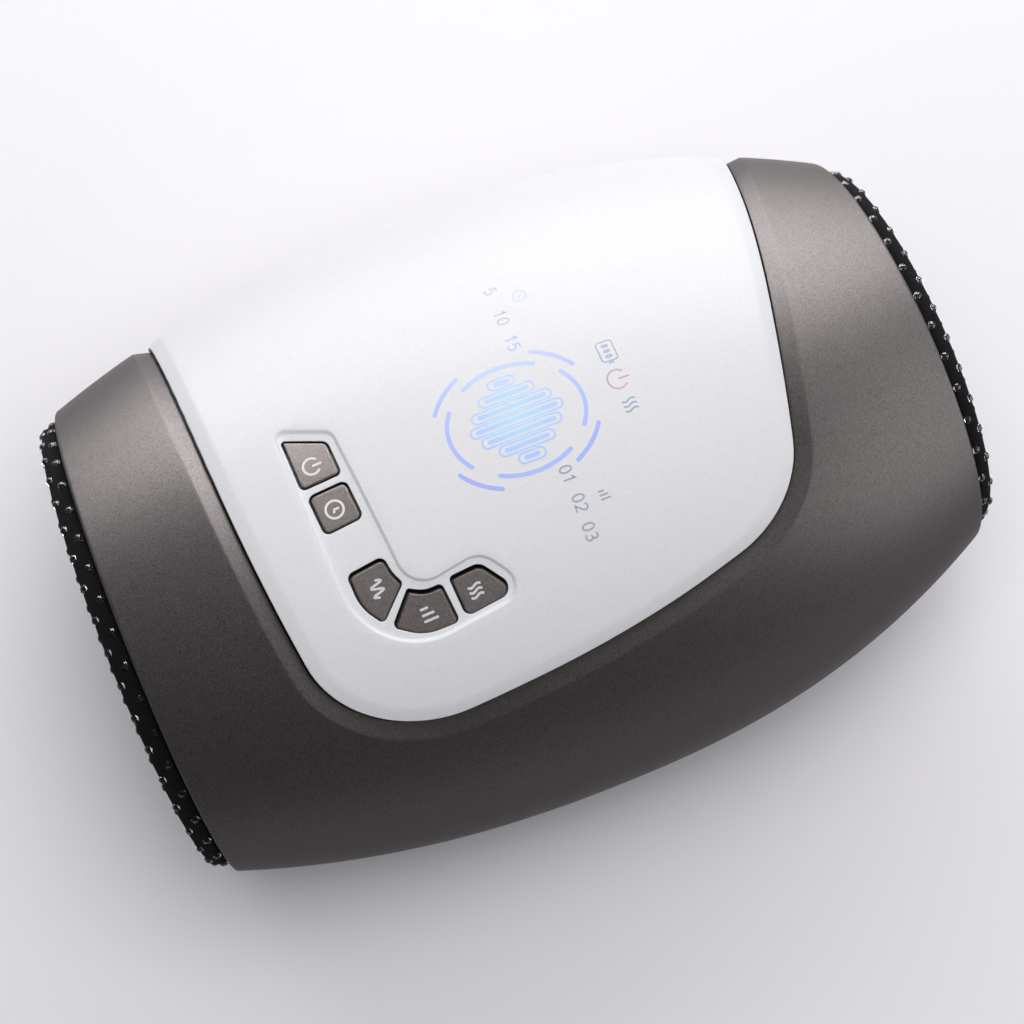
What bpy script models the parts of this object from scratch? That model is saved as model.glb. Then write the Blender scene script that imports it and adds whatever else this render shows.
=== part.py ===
"""Hand compression massager: casing, hand tunnel, keys, air drive and battery, each piece a solid of its own.

Metres, +Z up. The hand goes in along Y through the wide mouth at -Y, palm down. The origin lies under the
middle of the body, on the surface that it stands on.
"""

import math

import bpy
import numpy as np
from mathutils import Vector

# The three sizes of the casing that all larger ones follow: along Y, half of it along X, and its height
LENGTH = 0.2069
HALF_WIDTH = 0.0790
CROWN = 0.1060

# Casing: rounded sections, widest near the middle, that fall off towards both mouths
WIDE_REACH = LENGTH * 0.495
NARROW_REACH = LENGTH - WIDE_REACH
WIDEST_AT = LENGTH * -0.0048
WIDE_HALF_WIDTH = HALF_WIDTH * 0.796
NARROW_HALF_WIDTH = HALF_WIDTH * 0.691
WIDE_CROWN = CROWN * 0.878
NARROW_CROWN = CROWN * 0.7934
LEVEL = CROWN * 0.4236
BELLY = CROWN * 0.5283
WIDE_BELLY = CROWN * 0.349
NARROW_BELLY = CROWN * 0.302
SIDE_FALL_SHARE = 2.28
HEIGHT_FALL_SHARE = 2.0
WIDE_LEAN_SHARE = -0.074
NARROW_LEAN_SHARE = -0.017
LEAN_FROM = CROWN * 0.472
STANDING = 0.0030
CHINE = 0.0030
WALL = 0.0026
SPLIT = CROWN * 0.2264
SEAM = 0.0003
SEAT = 0.0003

# Control panel and the groove round it
PANEL_THICK = CROWN * 0.0245
PANEL_BEVEL = 0.0028
PANEL_EDGE_DROP = 0.0007
PANEL_GAP = 0.0012
GROOVE_WIDTH = 0.0046
GROOVE_DEPTH = 0.0020
LEDGE_WIDTH = 0.0038
LEDGE_THICK = 0.0016
PANEL_MIDDLE_TURN_SHARE = -0.47
PANEL_MIDDLE_SHARE = 0.02

# Island of keys, L-shaped in plan
ISLAND_WIDTH = HALF_WIDTH * 0.7595
ISLAND_LENGTH = LENGTH * 0.29
ISLAND_X = HALF_WIDTH * 0.1266
ISLAND_Y = LENGTH * -0.1692
ISLAND_SINK = 0.0006
KEY_SINK = 0.0010
KEY_BEVEL = 0.0004
KEY_GAP = 0.0004
KEY_SKIRT = CROWN * 0.0057
KEY_FLANGE = 0.0008
KEY_FLANGE_THICK = CROWN * 0.0094
KEY_STEM_SHARE = 0.42

# Hand tunnel
TUNNEL_HALF_WIDTH = HALF_WIDTH * 0.595
TUNNEL_LEVEL = CROWN * 0.566
TUNNEL_OVER = CROWN * 0.1887
TUNNEL_UNDER = CROWN * 0.1226
TUNNEL_STRAIGHT = LENGTH * 0.3238
LINING_THICK = 0.0012
LINING_INSET = 0.0150
CUFF_PROUD = 0.0045
CUFF_REACH_IN = 0.0090
RING_GAP = 0.0010
RING_THICK = 0.0018
RING_SINK = 0.0010
RING_LENGTH = 0.0100

# Tunnel roof, which carries the control board
ROOF_HALF_WIDTH = HALF_WIDTH * 0.734
ROOF_THICK = CROWN * 0.0189
BAG_ROOM = CROWN * 0.0425
ROOF_RISE = TUNNEL_LEVEL + TUNNEL_OVER + BAG_ROOM + ROOF_THICK - LEVEL
ROOF_HALF_LENGTH = LENGTH * 0.348
ARM_TOP = CROWN * 0.3396
BOARD_THICK = CROWN * 0.0151
BOARD_STAND = CROWN * 0.0142
BOARD_TOP = LEVEL + ROOF_RISE + BOARD_STAND + BOARD_THICK
BOARD_LEFT = HALF_WIDTH * 0.4873
BOARD_RIGHT = HALF_WIDTH * 0.5
BOARD_NEAR = LENGTH * 0.2755
BOARD_FAR = LENGTH * 0.174
MAT_THICK = CROWN * 0.0075
DOME_HEIGHT = CROWN * 0.0113
DOME_RADIUS = 0.0026
DOME_TOP_SHARE = 0.6
BOARD_BOSS = 0.0024
BOARD_SCREW = 0.0010
BOARD_SCREW_HEAD = 0.0018
BOARD_SCREW_LENGTH = 0.0040
CORNER = 0.0050
BOARD_CORNER_SHARE = 0.37
BUZZER_RADIUS = 0.0045
BUZZER_HEIGHT = CROWN * 0.0396
BUZZER_X = HALF_WIDTH * -0.367
BUZZER_Y = LENGTH * -0.1595

# Screws and feet
SCREW_SHAFT = 0.0012
SCREW_HEAD = 0.0025
SCREW_HEAD_THICK = 0.0016
SCREW_SEAT = CROWN * 0.1792
SCREW_TIP = CROWN * 0.3019
SCREW_REACH = LENGTH * 0.2803
SCREW_ACROSS_SHARE = 0.72
HEAD_TOP_SHARE = 0.8
PILLAR_X = HALF_WIDTH * 0.557
PILLAR_Y = LENGTH * 0.2417
PILLAR_RADIUS = 0.0026
FOOT_RADIUS = 0.0070
FOOT_X = HALF_WIDTH * 0.4304
FOOT_Y = LENGTH * 0.2223
FOOT_POCKET = 0.0012

# Drive bay
BAY_FLOOR = STANDING + WALL + SEAT
DRIVE_X = HALF_WIDTH * -0.396
MOTOR_RADIUS = CROWN * 0.0943
MOTOR_LENGTH = LENGTH * 0.1257
MOTOR_NEAR = LENGTH * -0.2417
SHAFT_RADIUS = 0.0010
BOSS_LENGTH = 0.0015
PUMP_SIDE = CROWN * 0.2075
PUMP_LENGTH = LENGTH * 0.1257
CAVITY_DEPTH = LENGTH * 0.058
CAVITY_SHARE = 0.75
CRANK_LENGTH = LENGTH * 0.0193
PIN_LENGTH = LENGTH * 0.0145
CRANK_RADIUS = CROWN * 0.0472
CELL_RADIUS = CROWN * 0.0868
CELL_LENGTH = LENGTH * 0.3142
CELL_ROOM = 0.0011
CELL_SPACING = CELL_RADIUS + CELL_RADIUS + CELL_ROOM
CELL_CAP = 0.0012
CELL_CAP_SHARE = 0.35
BATTERY_X = HALF_WIDTH * 0.0925
TRAY_WALL = 0.0012
MANIFOLD_LENGTH = LENGTH * 0.0532
PORT_RISE = CROWN * 0.0189
VALVE_WIDTH = HALF_WIDTH * 0.152
VALVE_LENGTH = LENGTH * 0.0725
VALVE_HEIGHT = CROWN * 0.1509
PLUNGER_RADIUS = 0.0020
PLUNGER_TRAVEL = 0.0008
PORT_Y = LENGTH * 0.145
PORT_Z = CROWN * 0.1415
PORT_WIDTH = 0.0090
PORT_HEIGHT = 0.0033
PORT_LENGTH = 0.0080
PORT_POST_RADIUS = 0.0016
CHARGE_BOARD_THICK = 0.0012
CHARGE_BOARD_LENGTH = 0.0140
HOSE_RADIUS = 0.0018
LEAD_RADIUS = 0.0011
STRAIGHT_END_SHARE = 1.6

# Floor of the tunnel and what squeezes the palm
BAY_ROOM = CROWN * 0.0198
FRAME_FLOOR = BAY_FLOOR + PUMP_SIDE + BAY_ROOM
FRAME_THICK = CROWN * 0.0189
FRAME_HALF_WIDTH = HALF_WIDTH * 0.6203
FRAME_HALF_LENGTH = LENGTH * 0.2707
BAG_THICK = CROWN * 0.0453
BAG_HALF_WIDTH = HALF_WIDTH * 0.4557
BAG_HALF_LENGTH = LENGTH * 0.2127
FILM_THICK = 0.0004
FILM_HALF_WIDTH = HALF_WIDTH * 0.3544
BAG_REACH = LENGTH * 0.319
BAG_DIVIDE = LENGTH * 0.0628
BAG_SPOUT = 0.0026
PILLOW_EDGE_SHARE = 0.45
SPOUT_ROOT_SHARE = 0.4
SPOUT_X = HALF_WIDTH * -0.1266
SPOUT_INSET = LENGTH * 0.029
PLATE_THICK = CROWN * 0.0208
PLATE_HALF_WIDTH = HALF_WIDTH * 0.4177
PLATE_HALF_LENGTH = LENGTH * 0.1982
NODE_HEIGHT = CROWN * 0.0264
NODE_RADIUS = 0.0042

# Counts of steps along and round the curved surfaces
SIDE_STEPS = 14
BASE_STEPS = 8
MOUTH_STEPS = 18
COVER_STEPS = 8
PANEL_STEPS = 7
TUNNEL_SIDES = 40
ROUND_SIDES = 16
OVERRUN = 0.0040
NUDGE = 0.00001
SHARP_DEGREES = 35
HALF_SIDE_SHARE = 0.49
STEP_EASE_SHARE = 0.35
PANEL_SIDE_SHARE = 0.91
SLAB_TURN = 0.66


def clear_scene():
    for found in list(bpy.data.objects):
        bpy.data.objects.remove(found, do_unlink=True)


def finish(name, colour, roughness, metallic=0.0):
    """A material of one colour, as the piece looks from a step away."""
    made = bpy.data.materials.new(name)
    made.use_nodes = True
    shader = made.node_tree.nodes["Principled BSDF"]
    shader.inputs["Base Color"].default_value = (*colour, 1.0)
    shader.inputs["Roughness"].default_value = roughness
    shader.inputs["Metallic"].default_value = metallic
    made.diffuse_color = (*colour, 1.0)
    return made


# Meshes: each function gives (points, faces)


def ring_shell(rings, closed=False):
    """Rings of equal length joined in turn: into a loop, or capped by a point, or for None by a face."""
    loops = [np.asarray(loop, float) for loop in (rings if closed else rings[1:-1])]
    sides = len(loops[0])
    points, faces = list(loops), []
    for i in range(len(loops) if closed else len(loops) - 1):
        a, b = i * sides, (i + 1) % len(loops) * sides
        for j in range(sides):
            k = (j + 1) % sides
            faces.append((a + j, a + k, b + k, b + j))
    if closed:
        return np.concatenate(points), faces
    first, last = range(sides - 1, -1, -1), range(sides * (len(loops) - 1), sides * len(loops))
    for pole, rim in ((rings[0], list(first)), (rings[-1], list(last))):
        if pole is None:
            faces.append(tuple(rim))
            continue
        tip = sum(len(loop) for loop in points)
        points.append(np.asarray(pole, float).reshape(1, 3))
        faces += [(tip, a, b) for a, b in zip(rim, rim[1:] + rim[:1])]
    return np.concatenate(points), faces


def prism(outline, low, high):
    """An outline in plan, carried straight up from low to high."""
    outline = np.asarray(outline, float)
    sides = len(outline)
    bottom = np.column_stack([outline, np.full(sides, low)])
    top = np.column_stack([outline, np.full(sides, high)])
    faces = [tuple(range(sides))[::-1], tuple(range(sides, sides + sides))]
    for j in range(sides):
        k = (j + 1) % sides
        faces.append((j, k, sides + k, sides + j))
    return np.concatenate([bottom, top]), faces


def block(low, high):
    outline = [(low[0], low[1]), (high[0], low[1]), (high[0], high[1]), (low[0], high[1])]
    return prism(outline, low[2], high[2])


def sheet(upper, lower):
    """Two grids of points, [across, along], joined round their edges into one sheet with a thickness."""
    wide, long = upper.shape[:2]
    size, faces = wide * long, []
    for i in range(wide - 1):
        for j in range(long - 1):
            corner = i * long + j
            quad = (corner, corner + long, corner + long + 1, corner + 1)
            faces += [quad, tuple(size + k for k in quad[::-1])]
    rim = [i * long for i in range(wide)] + [(wide - 1) * long + j for j in range(1, long)]
    rim += [i * long + long - 1 for i in range(wide - 2, -1, -1)] + list(range(long - 2, 0, -1))
    for a, b in zip(rim, rim[1:] + rim[:1]):
        faces.append((a, size + a, size + b, b))
    return np.concatenate([upper.reshape(-1, 3), lower.reshape(-1, 3)]), faces


def along_y(shell):
    """A shell made round Z, laid down so that its axis runs along Y."""
    points, faces = shell
    return np.column_stack([points[:, 0], points[:, 2], -points[:, 1]]), faces


def moved(shell, place):
    points, faces = shell
    return points + np.asarray(place, float), faces


def turned(profile, sides=ROUND_SIDES):
    """A profile of (radius, height) turned round Z. It starts and ends on the axis."""
    turn = np.linspace(0, math.tau, sides, endpoint=False)
    rings = [
        np.column_stack([radius * np.cos(turn), radius * np.sin(turn), np.full(sides, height)])
        for radius, height in profile[1:-1]
    ]
    ends = []
    for (_, height), (_, beside) in (profile[:2], profile[:-3:-1]):
        ends.append(None if height == beside else (0, 0, height))
    return ring_shell([ends[0], *rings, ends[1]])


def rod(radius, low, high, sides=ROUND_SIDES):
    return turned([(0, low), (radius, low), (radius, high), (0, high)], sides)


def piece(name, shells, material=None):
    """An object from one shell or several, with every face turned outwards."""
    shells = shells if isinstance(shells, list) else [shells]
    all_points, all_faces, start = [], [], 0
    for points, faces in shells:
        volume = 0.0
        for face in faces:
            a = points[face[0]]
            for b, c in zip(face[1:-1], face[2:]):
                volume += np.dot(a, np.cross(points[b], points[c]))
        step = 1 if volume > 0 else -1
        all_faces += [tuple(start + corner for corner in face[::step]) for face in faces]
        all_points.append(points)
        start += len(points)
    mesh = bpy.data.meshes.new(name)
    mesh.from_pydata(np.concatenate(all_points).tolist(), [], all_faces)
    mesh.update()
    made = bpy.data.objects.new(name, mesh)
    bpy.context.scene.collection.objects.link(made)
    if material is not None:
        mesh.materials.append(material)
    mesh.shade_smooth()
    mesh.set_sharp_from_angle(angle=math.radians(SHARP_DEGREES))
    return made


def helper(name, shells):
    """A cutter or a guide, which isn't part of the object."""
    made = piece(name, shells)
    made.hide_render = True
    made.display_type = "WIRE"
    return made


def combine(target, operation, operand):
    step = target.modifiers.new(f"{operation.lower()} {operand.name}", "BOOLEAN")
    step.operation = operation
    step.object = operand
    step.solver = "EXACT"


def set_origin(obj, place):
    """Moves the object's origin to its joint's axis, with its shape left where it is."""
    place = Vector(place)
    for vertex in obj.data.vertices:
        vertex.co -= place
    obj.location = place


# The casing's surface


def falling(along, middle, wide, narrow, power):
    """A size that is largest at the widest line and falls off towards both mouths."""
    to_wide = np.clip((WIDEST_AT - along) / (WIDEST_AT + WIDE_REACH), 0, None)
    to_narrow = np.clip((along - WIDEST_AT) / (NARROW_REACH - WIDEST_AT), 0, None)
    return middle - (middle - wide) * to_wide**power - (middle - narrow) * to_narrow**power


def half_width(along):
    return falling(along, HALF_WIDTH, WIDE_HALF_WIDTH, NARROW_HALF_WIDTH, SIDE_FALL_SHARE)


def rise(along):
    return falling(along, CROWN, WIDE_CROWN, NARROW_CROWN, HEIGHT_FALL_SHARE) - LEVEL


def belly(along):
    return falling(along, BELLY, WIDE_BELLY, NARROW_BELLY, HEIGHT_FALL_SHARE)


def softly_above(height, floor):
    """The height, but never under the floor, with a rounded corner where it meets it."""
    over = np.clip(height - floor, -CHINE, CHINE)
    return np.where(height - floor > CHINE, height, floor + (over + CHINE) ** 2 / (4 * CHINE))


def skin(turn, along, depth=0.0):
    """Points of the casing, or of a surface that deep inside it. Turn is zero at the crown, towards +X."""
    turn, along = np.asarray(turn, float), np.asarray(along, float)
    across = (half_width(along) - depth) * np.sin(turn)
    reach = np.where(np.cos(turn) > 0, rise(along), belly(along)) - depth
    height = softly_above(LEVEL + reach * np.cos(turn), STANDING + depth)
    return np.stack([across, along + 0 * turn, height], axis=-1)


def mouth(turn, reach, lean, depth=0.0):
    """How far along each mouth's edge lies: the rims lean, the wide one out over the wrist at its top."""
    along = np.full(np.shape(turn), reach)
    for _ in range(3):
        along = reach + lean * (skin(turn, along, depth)[..., 2] - LEAN_FROM)
    return along


def wide_mouth(turn, depth=0.0):
    return mouth(turn, -WIDE_REACH, WIDE_LEAN_SHARE, depth)


def narrow_mouth(turn, depth=0.0):
    return mouth(turn, NARROW_REACH, NARROW_LEAN_SHARE, depth)


def split_turn(along, depth, height):
    """The turn at which the surface crosses that height, under the widest line."""
    return np.arccos(np.clip((height - LEVEL) / (belly(along) - depth), -1, 1))


def height_at(x, y, depth=0.0):
    """Height of the casing's upper surface over a point in plan, or of a surface that deep inside it."""
    reach = half_width(y) - depth
    return LEVEL + (rise(y) - depth) * np.sqrt(np.clip(1 - (x / reach) ** 2, 0, None))


def border(depth, height, under=False):
    """(turn, along) round one casing half's edge: up one split line, over a mouth, back, over the other."""
    up = np.linspace(0, 1, SIDE_STEPS, endpoint=False)
    over = np.linspace(1, -1, MOUTH_STEPS, endpoint=False)
    sides = np.concatenate([np.ones(SIDE_STEPS), over, -np.ones(SIDE_STEPS), -over])
    places = np.concatenate([up, np.ones(MOUTH_STEPS), 1 - up, np.zeros(MOUTH_STEPS)])
    along = -WIDE_REACH + (WIDE_REACH + NARROW_REACH) * places
    for _ in range(4):
        limit = split_turn(along, depth, height)
        turn = math.pi + sides * (math.pi - limit) if under else sides * limit
        near, far = wide_mouth(turn, depth), narrow_mouth(turn, depth)
        along = near + (far - near) * places
    return turn, along


# The control panel's outline on the casing


def rounded(corners, arc_points=6):
    """A closed outline from corners (x, y, radius), each rounded by an arc within its two sides."""
    corners = [np.asarray(corner, float) for corner in corners]
    outline = []
    for i, corner in enumerate(corners):
        here = corner[:2]
        back, ahead = corners[i - 1][:2] - here, corners[(i + 1) % len(corners)][:2] - here
        room = HALF_SIDE_SHARE * min(np.linalg.norm(back), np.linalg.norm(ahead))
        back, ahead = back / np.linalg.norm(back), ahead / np.linalg.norm(ahead)
        half = 0.5 * math.acos(float(np.clip(back @ ahead, -1, 1)))
        tangent = min(corner[2] / math.tan(half), room)
        radius = tangent * math.tan(half)
        if radius <= 0:
            outline.append(here)
            continue
        middle = here + (back + ahead) / np.linalg.norm(back + ahead) * (radius / math.sin(half))
        start = here + back * tangent - middle
        swing = math.pi - half - half
        side = 1 if start[0] * (ahead - back)[1] - start[1] * (ahead - back)[0] > 0 else -1
        for share in np.linspace(0, 1, arc_points):
            angle = side * swing * share
            outline.append(middle + (
                start[0] * math.cos(angle) - start[1] * math.sin(angle),
                start[0] * math.sin(angle) + start[1] * math.cos(angle),
            ))
    return np.array(outline)


# Corners of the panel: turn from the crown in degrees, then place and rounding as shares of a half length
panel_corner_shares = (
    (-98, -0.739, 0.23),
    (6.6, -0.698, 5.8),
    (49.2, -0.630, 0.29),
    (42.9, 0.060, 3.4),
    (34.3, 0.519, 0.29),
    (-24.7, 0.707, 5.0),
    (-98, 0.843, 0.23),
)


def panel_middle():
    return np.array([PANEL_MIDDLE_TURN_SHARE * HALF_WIDTH, PANEL_MIDDLE_SHARE * WIDE_REACH])


def panel_outline():
    """(turn, along) round the panel's edge, one point for each point of the cover's border."""
    half_length = (WIDE_REACH + NARROW_REACH) / 2
    corners = [
        (math.radians(turn) * HALF_WIDTH, place * half_length, radius * half_length)
        for turn, place, radius in panel_corner_shares
    ]
    line = rounded(corners, 40)
    spans = zip(line, np.roll(line, -1, axis=0))
    dense = np.concatenate([np.linspace(a, b, 12, endpoint=False) for a, b in spans])
    middle = panel_middle()
    turn, along = border(0, SPLIT + SEAM / 2)
    wanted = np.arctan2(along - middle[1], turn * HALF_WIDTH - middle[0])
    angles = np.arctan2(dense[:, 1] - middle[1], dense[:, 0] - middle[0])
    radii = np.hypot(dense[:, 0] - middle[0], dense[:, 1] - middle[1])
    order = np.argsort(angles)
    radius = np.interp(wanted, angles[order], radii[order], period=math.tau)
    return (middle[0] + radius * np.cos(wanted)) / HALF_WIDTH, middle[1] + radius * np.sin(wanted)


def shifted(turn, along, distance):
    """The outline moved outwards along the casing's surface by a distance."""
    by_turn = (skin(turn + NUDGE, along) - skin(turn - NUDGE, along)) / (NUDGE + NUDGE)
    by_along = (skin(turn, along + NUDGE) - skin(turn, along - NUDGE)) / (NUDGE + NUDGE)
    d_turn = np.roll(turn, -1) - np.roll(turn, 1)
    d_along = np.roll(along, -1) - np.roll(along, 1)
    tangent = by_turn * d_turn[:, None] + by_along * d_along[:, None]
    outward = np.cross(tangent, np.cross(by_turn, by_along))
    outward /= np.linalg.norm(outward, axis=1)[:, None]
    a = (by_turn * by_turn).sum(1)
    b = (by_turn * by_along).sum(1)
    c = (by_along * by_along).sum(1)
    u, v = (by_turn * outward).sum(1), (by_along * outward).sum(1)
    change_turn = (c * u - b * v) / (a * c - b * b)
    change_along = (a * v - b * u) / (a * c - b * b)
    middle = panel_middle()
    away = (turn * HALF_WIDTH - middle[0]) * change_turn * HALF_WIDTH + (along - middle[1]) * change_along
    sign = np.where(away.sum() > 0, 1, -1)
    return turn + sign * change_turn * distance, along + sign * change_along * distance


def mixed(inner, outer, share):
    return tuple(a + (b - a) * share for a, b in zip(inner, outer))


def top_cover(material):
    """Upper casing half: a shell round the panel's window, with the V groove and a ledge under the panel."""
    edge = panel_outline()
    ridge = shifted(*edge, GROOVE_WIDTH)
    foot = shifted(*edge, PANEL_GAP)
    lip = shifted(*edge, PANEL_GAP - LEDGE_WIDTH)
    root = shifted(*edge, GROOVE_WIDTH + GROOVE_DEPTH)
    height = SPLIT + SEAM / 2
    outside, inside = border(0, height), border(WALL, height)
    shelf = PANEL_THICK + SEAT
    steps = np.linspace(0, 1, COVER_STEPS)[1:]
    shares = steps * (STEP_EASE_SHARE + 1 - STEP_EASE_SHARE * steps)
    rings = [skin(*ridge)]
    rings += [skin(*mixed(ridge, outside, share)) for share in shares]
    rings += [skin(*mixed(root, inside, share), WALL) for share in shares[::-1]]
    rings += [skin(*root, WALL), skin(*foot, shelf + LEDGE_THICK), skin(*lip, shelf + LEDGE_THICK)]
    rings += [skin(*lip, shelf), skin(*foot, shelf), skin(*foot, GROOVE_DEPTH)]
    cover = piece("top_cover", ring_shell(rings, closed=True), material)
    combine(cover, "UNION", helper("cover_arms", [cover_arm(x, y) for x, y in screw_places()]))
    pilot = rod(SCREW_SHAFT + SEAT, SPLIT - OVERRUN, SCREW_TIP + SEAM)
    pilots = [moved(pilot, (x, y, 0)) for x, y in screw_places()]
    combine(cover, "DIFFERENCE", helper("cover_pilots", pilots))
    return cover


def screw_places():
    places = []
    for y in (-SCREW_REACH, 0, SCREW_REACH):
        across = float(half_width(np.array(y))) * SCREW_ACROSS_SHARE
        places += [(across, y), (-across, y)]
    return places


def cover_arm(x, y):
    """A block from the casing's wall inwards over a screw; the tunnel roof stands on it."""
    depth = WALL / 2
    wall = (half_width(y) - depth) * math.sqrt(1 - ((SPLIT - LEVEL) / (belly(y) - depth)) ** 2)
    half = SCREW_HEAD + WALL / 2
    inner = abs(x) - half
    low, high = (inner, wall) if x > 0 else (-wall, -inner)
    return block((low, y - half, SPLIT + SEAM / 2), (high, y + half, ARM_TOP))


def control_panel(material):
    """Pearl panel: bevelled edge, the sunk island and a straight hole for each key."""
    edge = panel_outline()
    middle = panel_middle()
    centre = (np.full(len(edge[0]), middle[0] / HALF_WIDTH), np.full(len(edge[0]), middle[1]))
    flat = shifted(*edge, -PANEL_BEVEL)
    half = shifted(*edge, -PANEL_BEVEL / 2)
    shares = np.append(np.linspace(0, PANEL_SIDE_SHARE, PANEL_STEPS), 1)
    rings = [skin(middle[0] / HALF_WIDTH, middle[1])]
    rings += [skin(*mixed(centre, flat, share)) for share in shares[1:]]
    rings += [skin(*half, PANEL_EDGE_DROP / 4), skin(*edge, PANEL_EDGE_DROP), skin(*edge, PANEL_THICK)]
    rings += [skin(*mixed(centre, flat, share), PANEL_THICK) for share in shares[:0:-1]]
    rings += [skin(middle[0] / HALF_WIDTH, middle[1], PANEL_THICK)]
    panel = piece("control_panel", ring_shell(rings), material)
    sink = helper("island_cutter", prism(island_outline(), BOARD_TOP, CROWN + OVERRUN))
    combine(sink, "INTERSECT", helper("island_slab", slab(-OVERRUN, ISLAND_SINK)))
    combine(panel, "DIFFERENCE", sink)
    holes = [prism(outline, BOARD_TOP, CROWN + OVERRUN) for outline in key_outlines().values()]
    combine(panel, "DIFFERENCE", helper("key_holes", holes))
    return panel


def slab(top_depth, bottom_depth, across_steps=18, along_steps=14):
    """A slice of the casing's upper part, between two depths, that covers the board and the keys."""
    turn = np.linspace(-SLAB_TURN, SLAB_TURN, across_steps)
    along = np.linspace(-BOARD_NEAR - OVERRUN, BOARD_FAR + OVERRUN, along_steps)
    grid = np.meshgrid(turn, along, indexing="ij")
    return sheet(skin(*grid, top_depth), skin(*grid, bottom_depth))


# Outlines of the island and of the key holes, as shares of the island's size from its middle: x, y, rounding
island_shares = (
    (-0.493, -0.347, 0.025),
    (-0.399, -0.149, 0.045),
    (0.313, -0.094, 0.118),
    (0.271, 0.209, 0.095),
    (0.455, 0.341, 0.062),
    (0.520, -0.325, 0.380),
)
key_shares = {
    "power_key": (
        (-0.460, -0.340, 0.014),
        (-0.378, -0.169, 0.038),
        (-0.225, -0.163, 0.024),
        (-0.221, -0.336, 0.027),
    ),
    "time_key": (
        (-0.193, -0.325, 0.030),
        (-0.198, -0.160, 0.030),
        (-0.028, -0.148, 0.030),
        (-0.017, -0.315, 0.030),
    ),
    "mode_key": (
        (0.153, -0.294, 0.027),
        (0.138, -0.138, 0.030),
        (0.213, -0.126, 0.160),
        (0.262, -0.102, 0.022),
        (0.378, -0.227, 0.022),
        (0.285, -0.290, 0.300),
    ),
    "intensity_key": (
        (0.287, -0.096, 0.014),
        (0.320, -0.038, 0.120),
        (0.318, 0.034, 0.022),
        (0.476, 0.050, 0.022),
        (0.474, -0.098, 0.260),
        (0.400, -0.203, 0.022),
    ),
    "heat_key": (
        (0.308, 0.065, 0.020),
        (0.300, 0.196, 0.055),
        (0.448, 0.305, 0.042),
        (0.470, 0.075, 0.034),
    ),
}


def in_plan(shares):
    return [
        (ISLAND_X + x * ISLAND_WIDTH, ISLAND_Y + y * ISLAND_LENGTH, r * ISLAND_LENGTH)
        for x, y, r in shares
    ]


def island_outline():
    return rounded(in_plan(island_shares), 7)


def key_outlines():
    return {name: rounded(in_plan(shares), 4) for name, shares in key_shares.items()}


def inset(outline, distance):
    """An outline in plan moved inwards by a distance, or outwards by a negative one."""
    ahead, back = np.roll(outline, -1, axis=0), np.roll(outline, 1, axis=0)
    run = (ahead - back) / np.linalg.norm(ahead - back, axis=1)[:, None]
    area = np.sum(outline[:, 0] * ahead[:, 1] - ahead[:, 0] * outline[:, 1])
    inward = np.column_stack([-run[:, 1], run[:, 0]]) * (1 if area > 0 else -1)
    return outline + inward * distance


def over_plan(outline, depth):
    """The outline lifted onto the casing's upper surface, or onto one that deep inside it."""
    return np.column_stack([outline, height_at(outline[:, 0], outline[:, 1], depth)])


def key_cap(name, hole, material):
    """A key: its face follows the panel, a flange keeps it in, and a stem reaches down to its dome."""
    cap = inset(hole, KEY_GAP)
    middle = cap.mean(axis=0)
    flange_top = PANEL_THICK + KEY_SKIRT
    flange = inset(cap, -KEY_FLANGE)
    stem = middle + (cap - middle) * KEY_STEM_SHARE
    foot = dome_top() + SEAT
    rings = [over_plan(middle.reshape(1, 2), KEY_SINK)[0]]
    rings += [over_plan(inset(cap, KEY_BEVEL), KEY_SINK), over_plan(cap, KEY_SINK + KEY_BEVEL)]
    rings += [over_plan(cap, flange_top), over_plan(flange, flange_top)]
    rings += [over_plan(outline, flange_top + KEY_FLANGE_THICK) for outline in (flange, stem)]
    rings += [np.column_stack([stem, np.full(len(stem), foot)]), (*middle, foot)]
    key = piece(name, ring_shell(rings), material)
    set_origin(key, (*middle, foot))
    return key


def dome_top():
    return BOARD_TOP + SEAT + MAT_THICK + DOME_HEIGHT


def key_mat(material):
    """Silicone sheet on the control board, with a dome under each key."""
    low = BOARD_TOP + SEAT
    outline = inset(island_outline(), KEY_GAP + KEY_FLANGE)
    mat = piece("key_mat", prism(outline, low, low + MAT_THICK), material)
    root = low + MAT_THICK / 2
    profile = [(0, root), (DOME_RADIUS, root), (DOME_RADIUS, low + MAT_THICK)]
    profile += [(DOME_RADIUS * DOME_TOP_SHARE, dome_top()), (0, dome_top())]
    dome = turned(profile, 12)
    domes = []
    for hole in key_outlines().values():
        x, y = hole.mean(axis=0)
        domes.append(moved(dome, (x, y, 0)))
    combine(mat, "UNION", helper("mat_domes", domes))
    return mat


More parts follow.
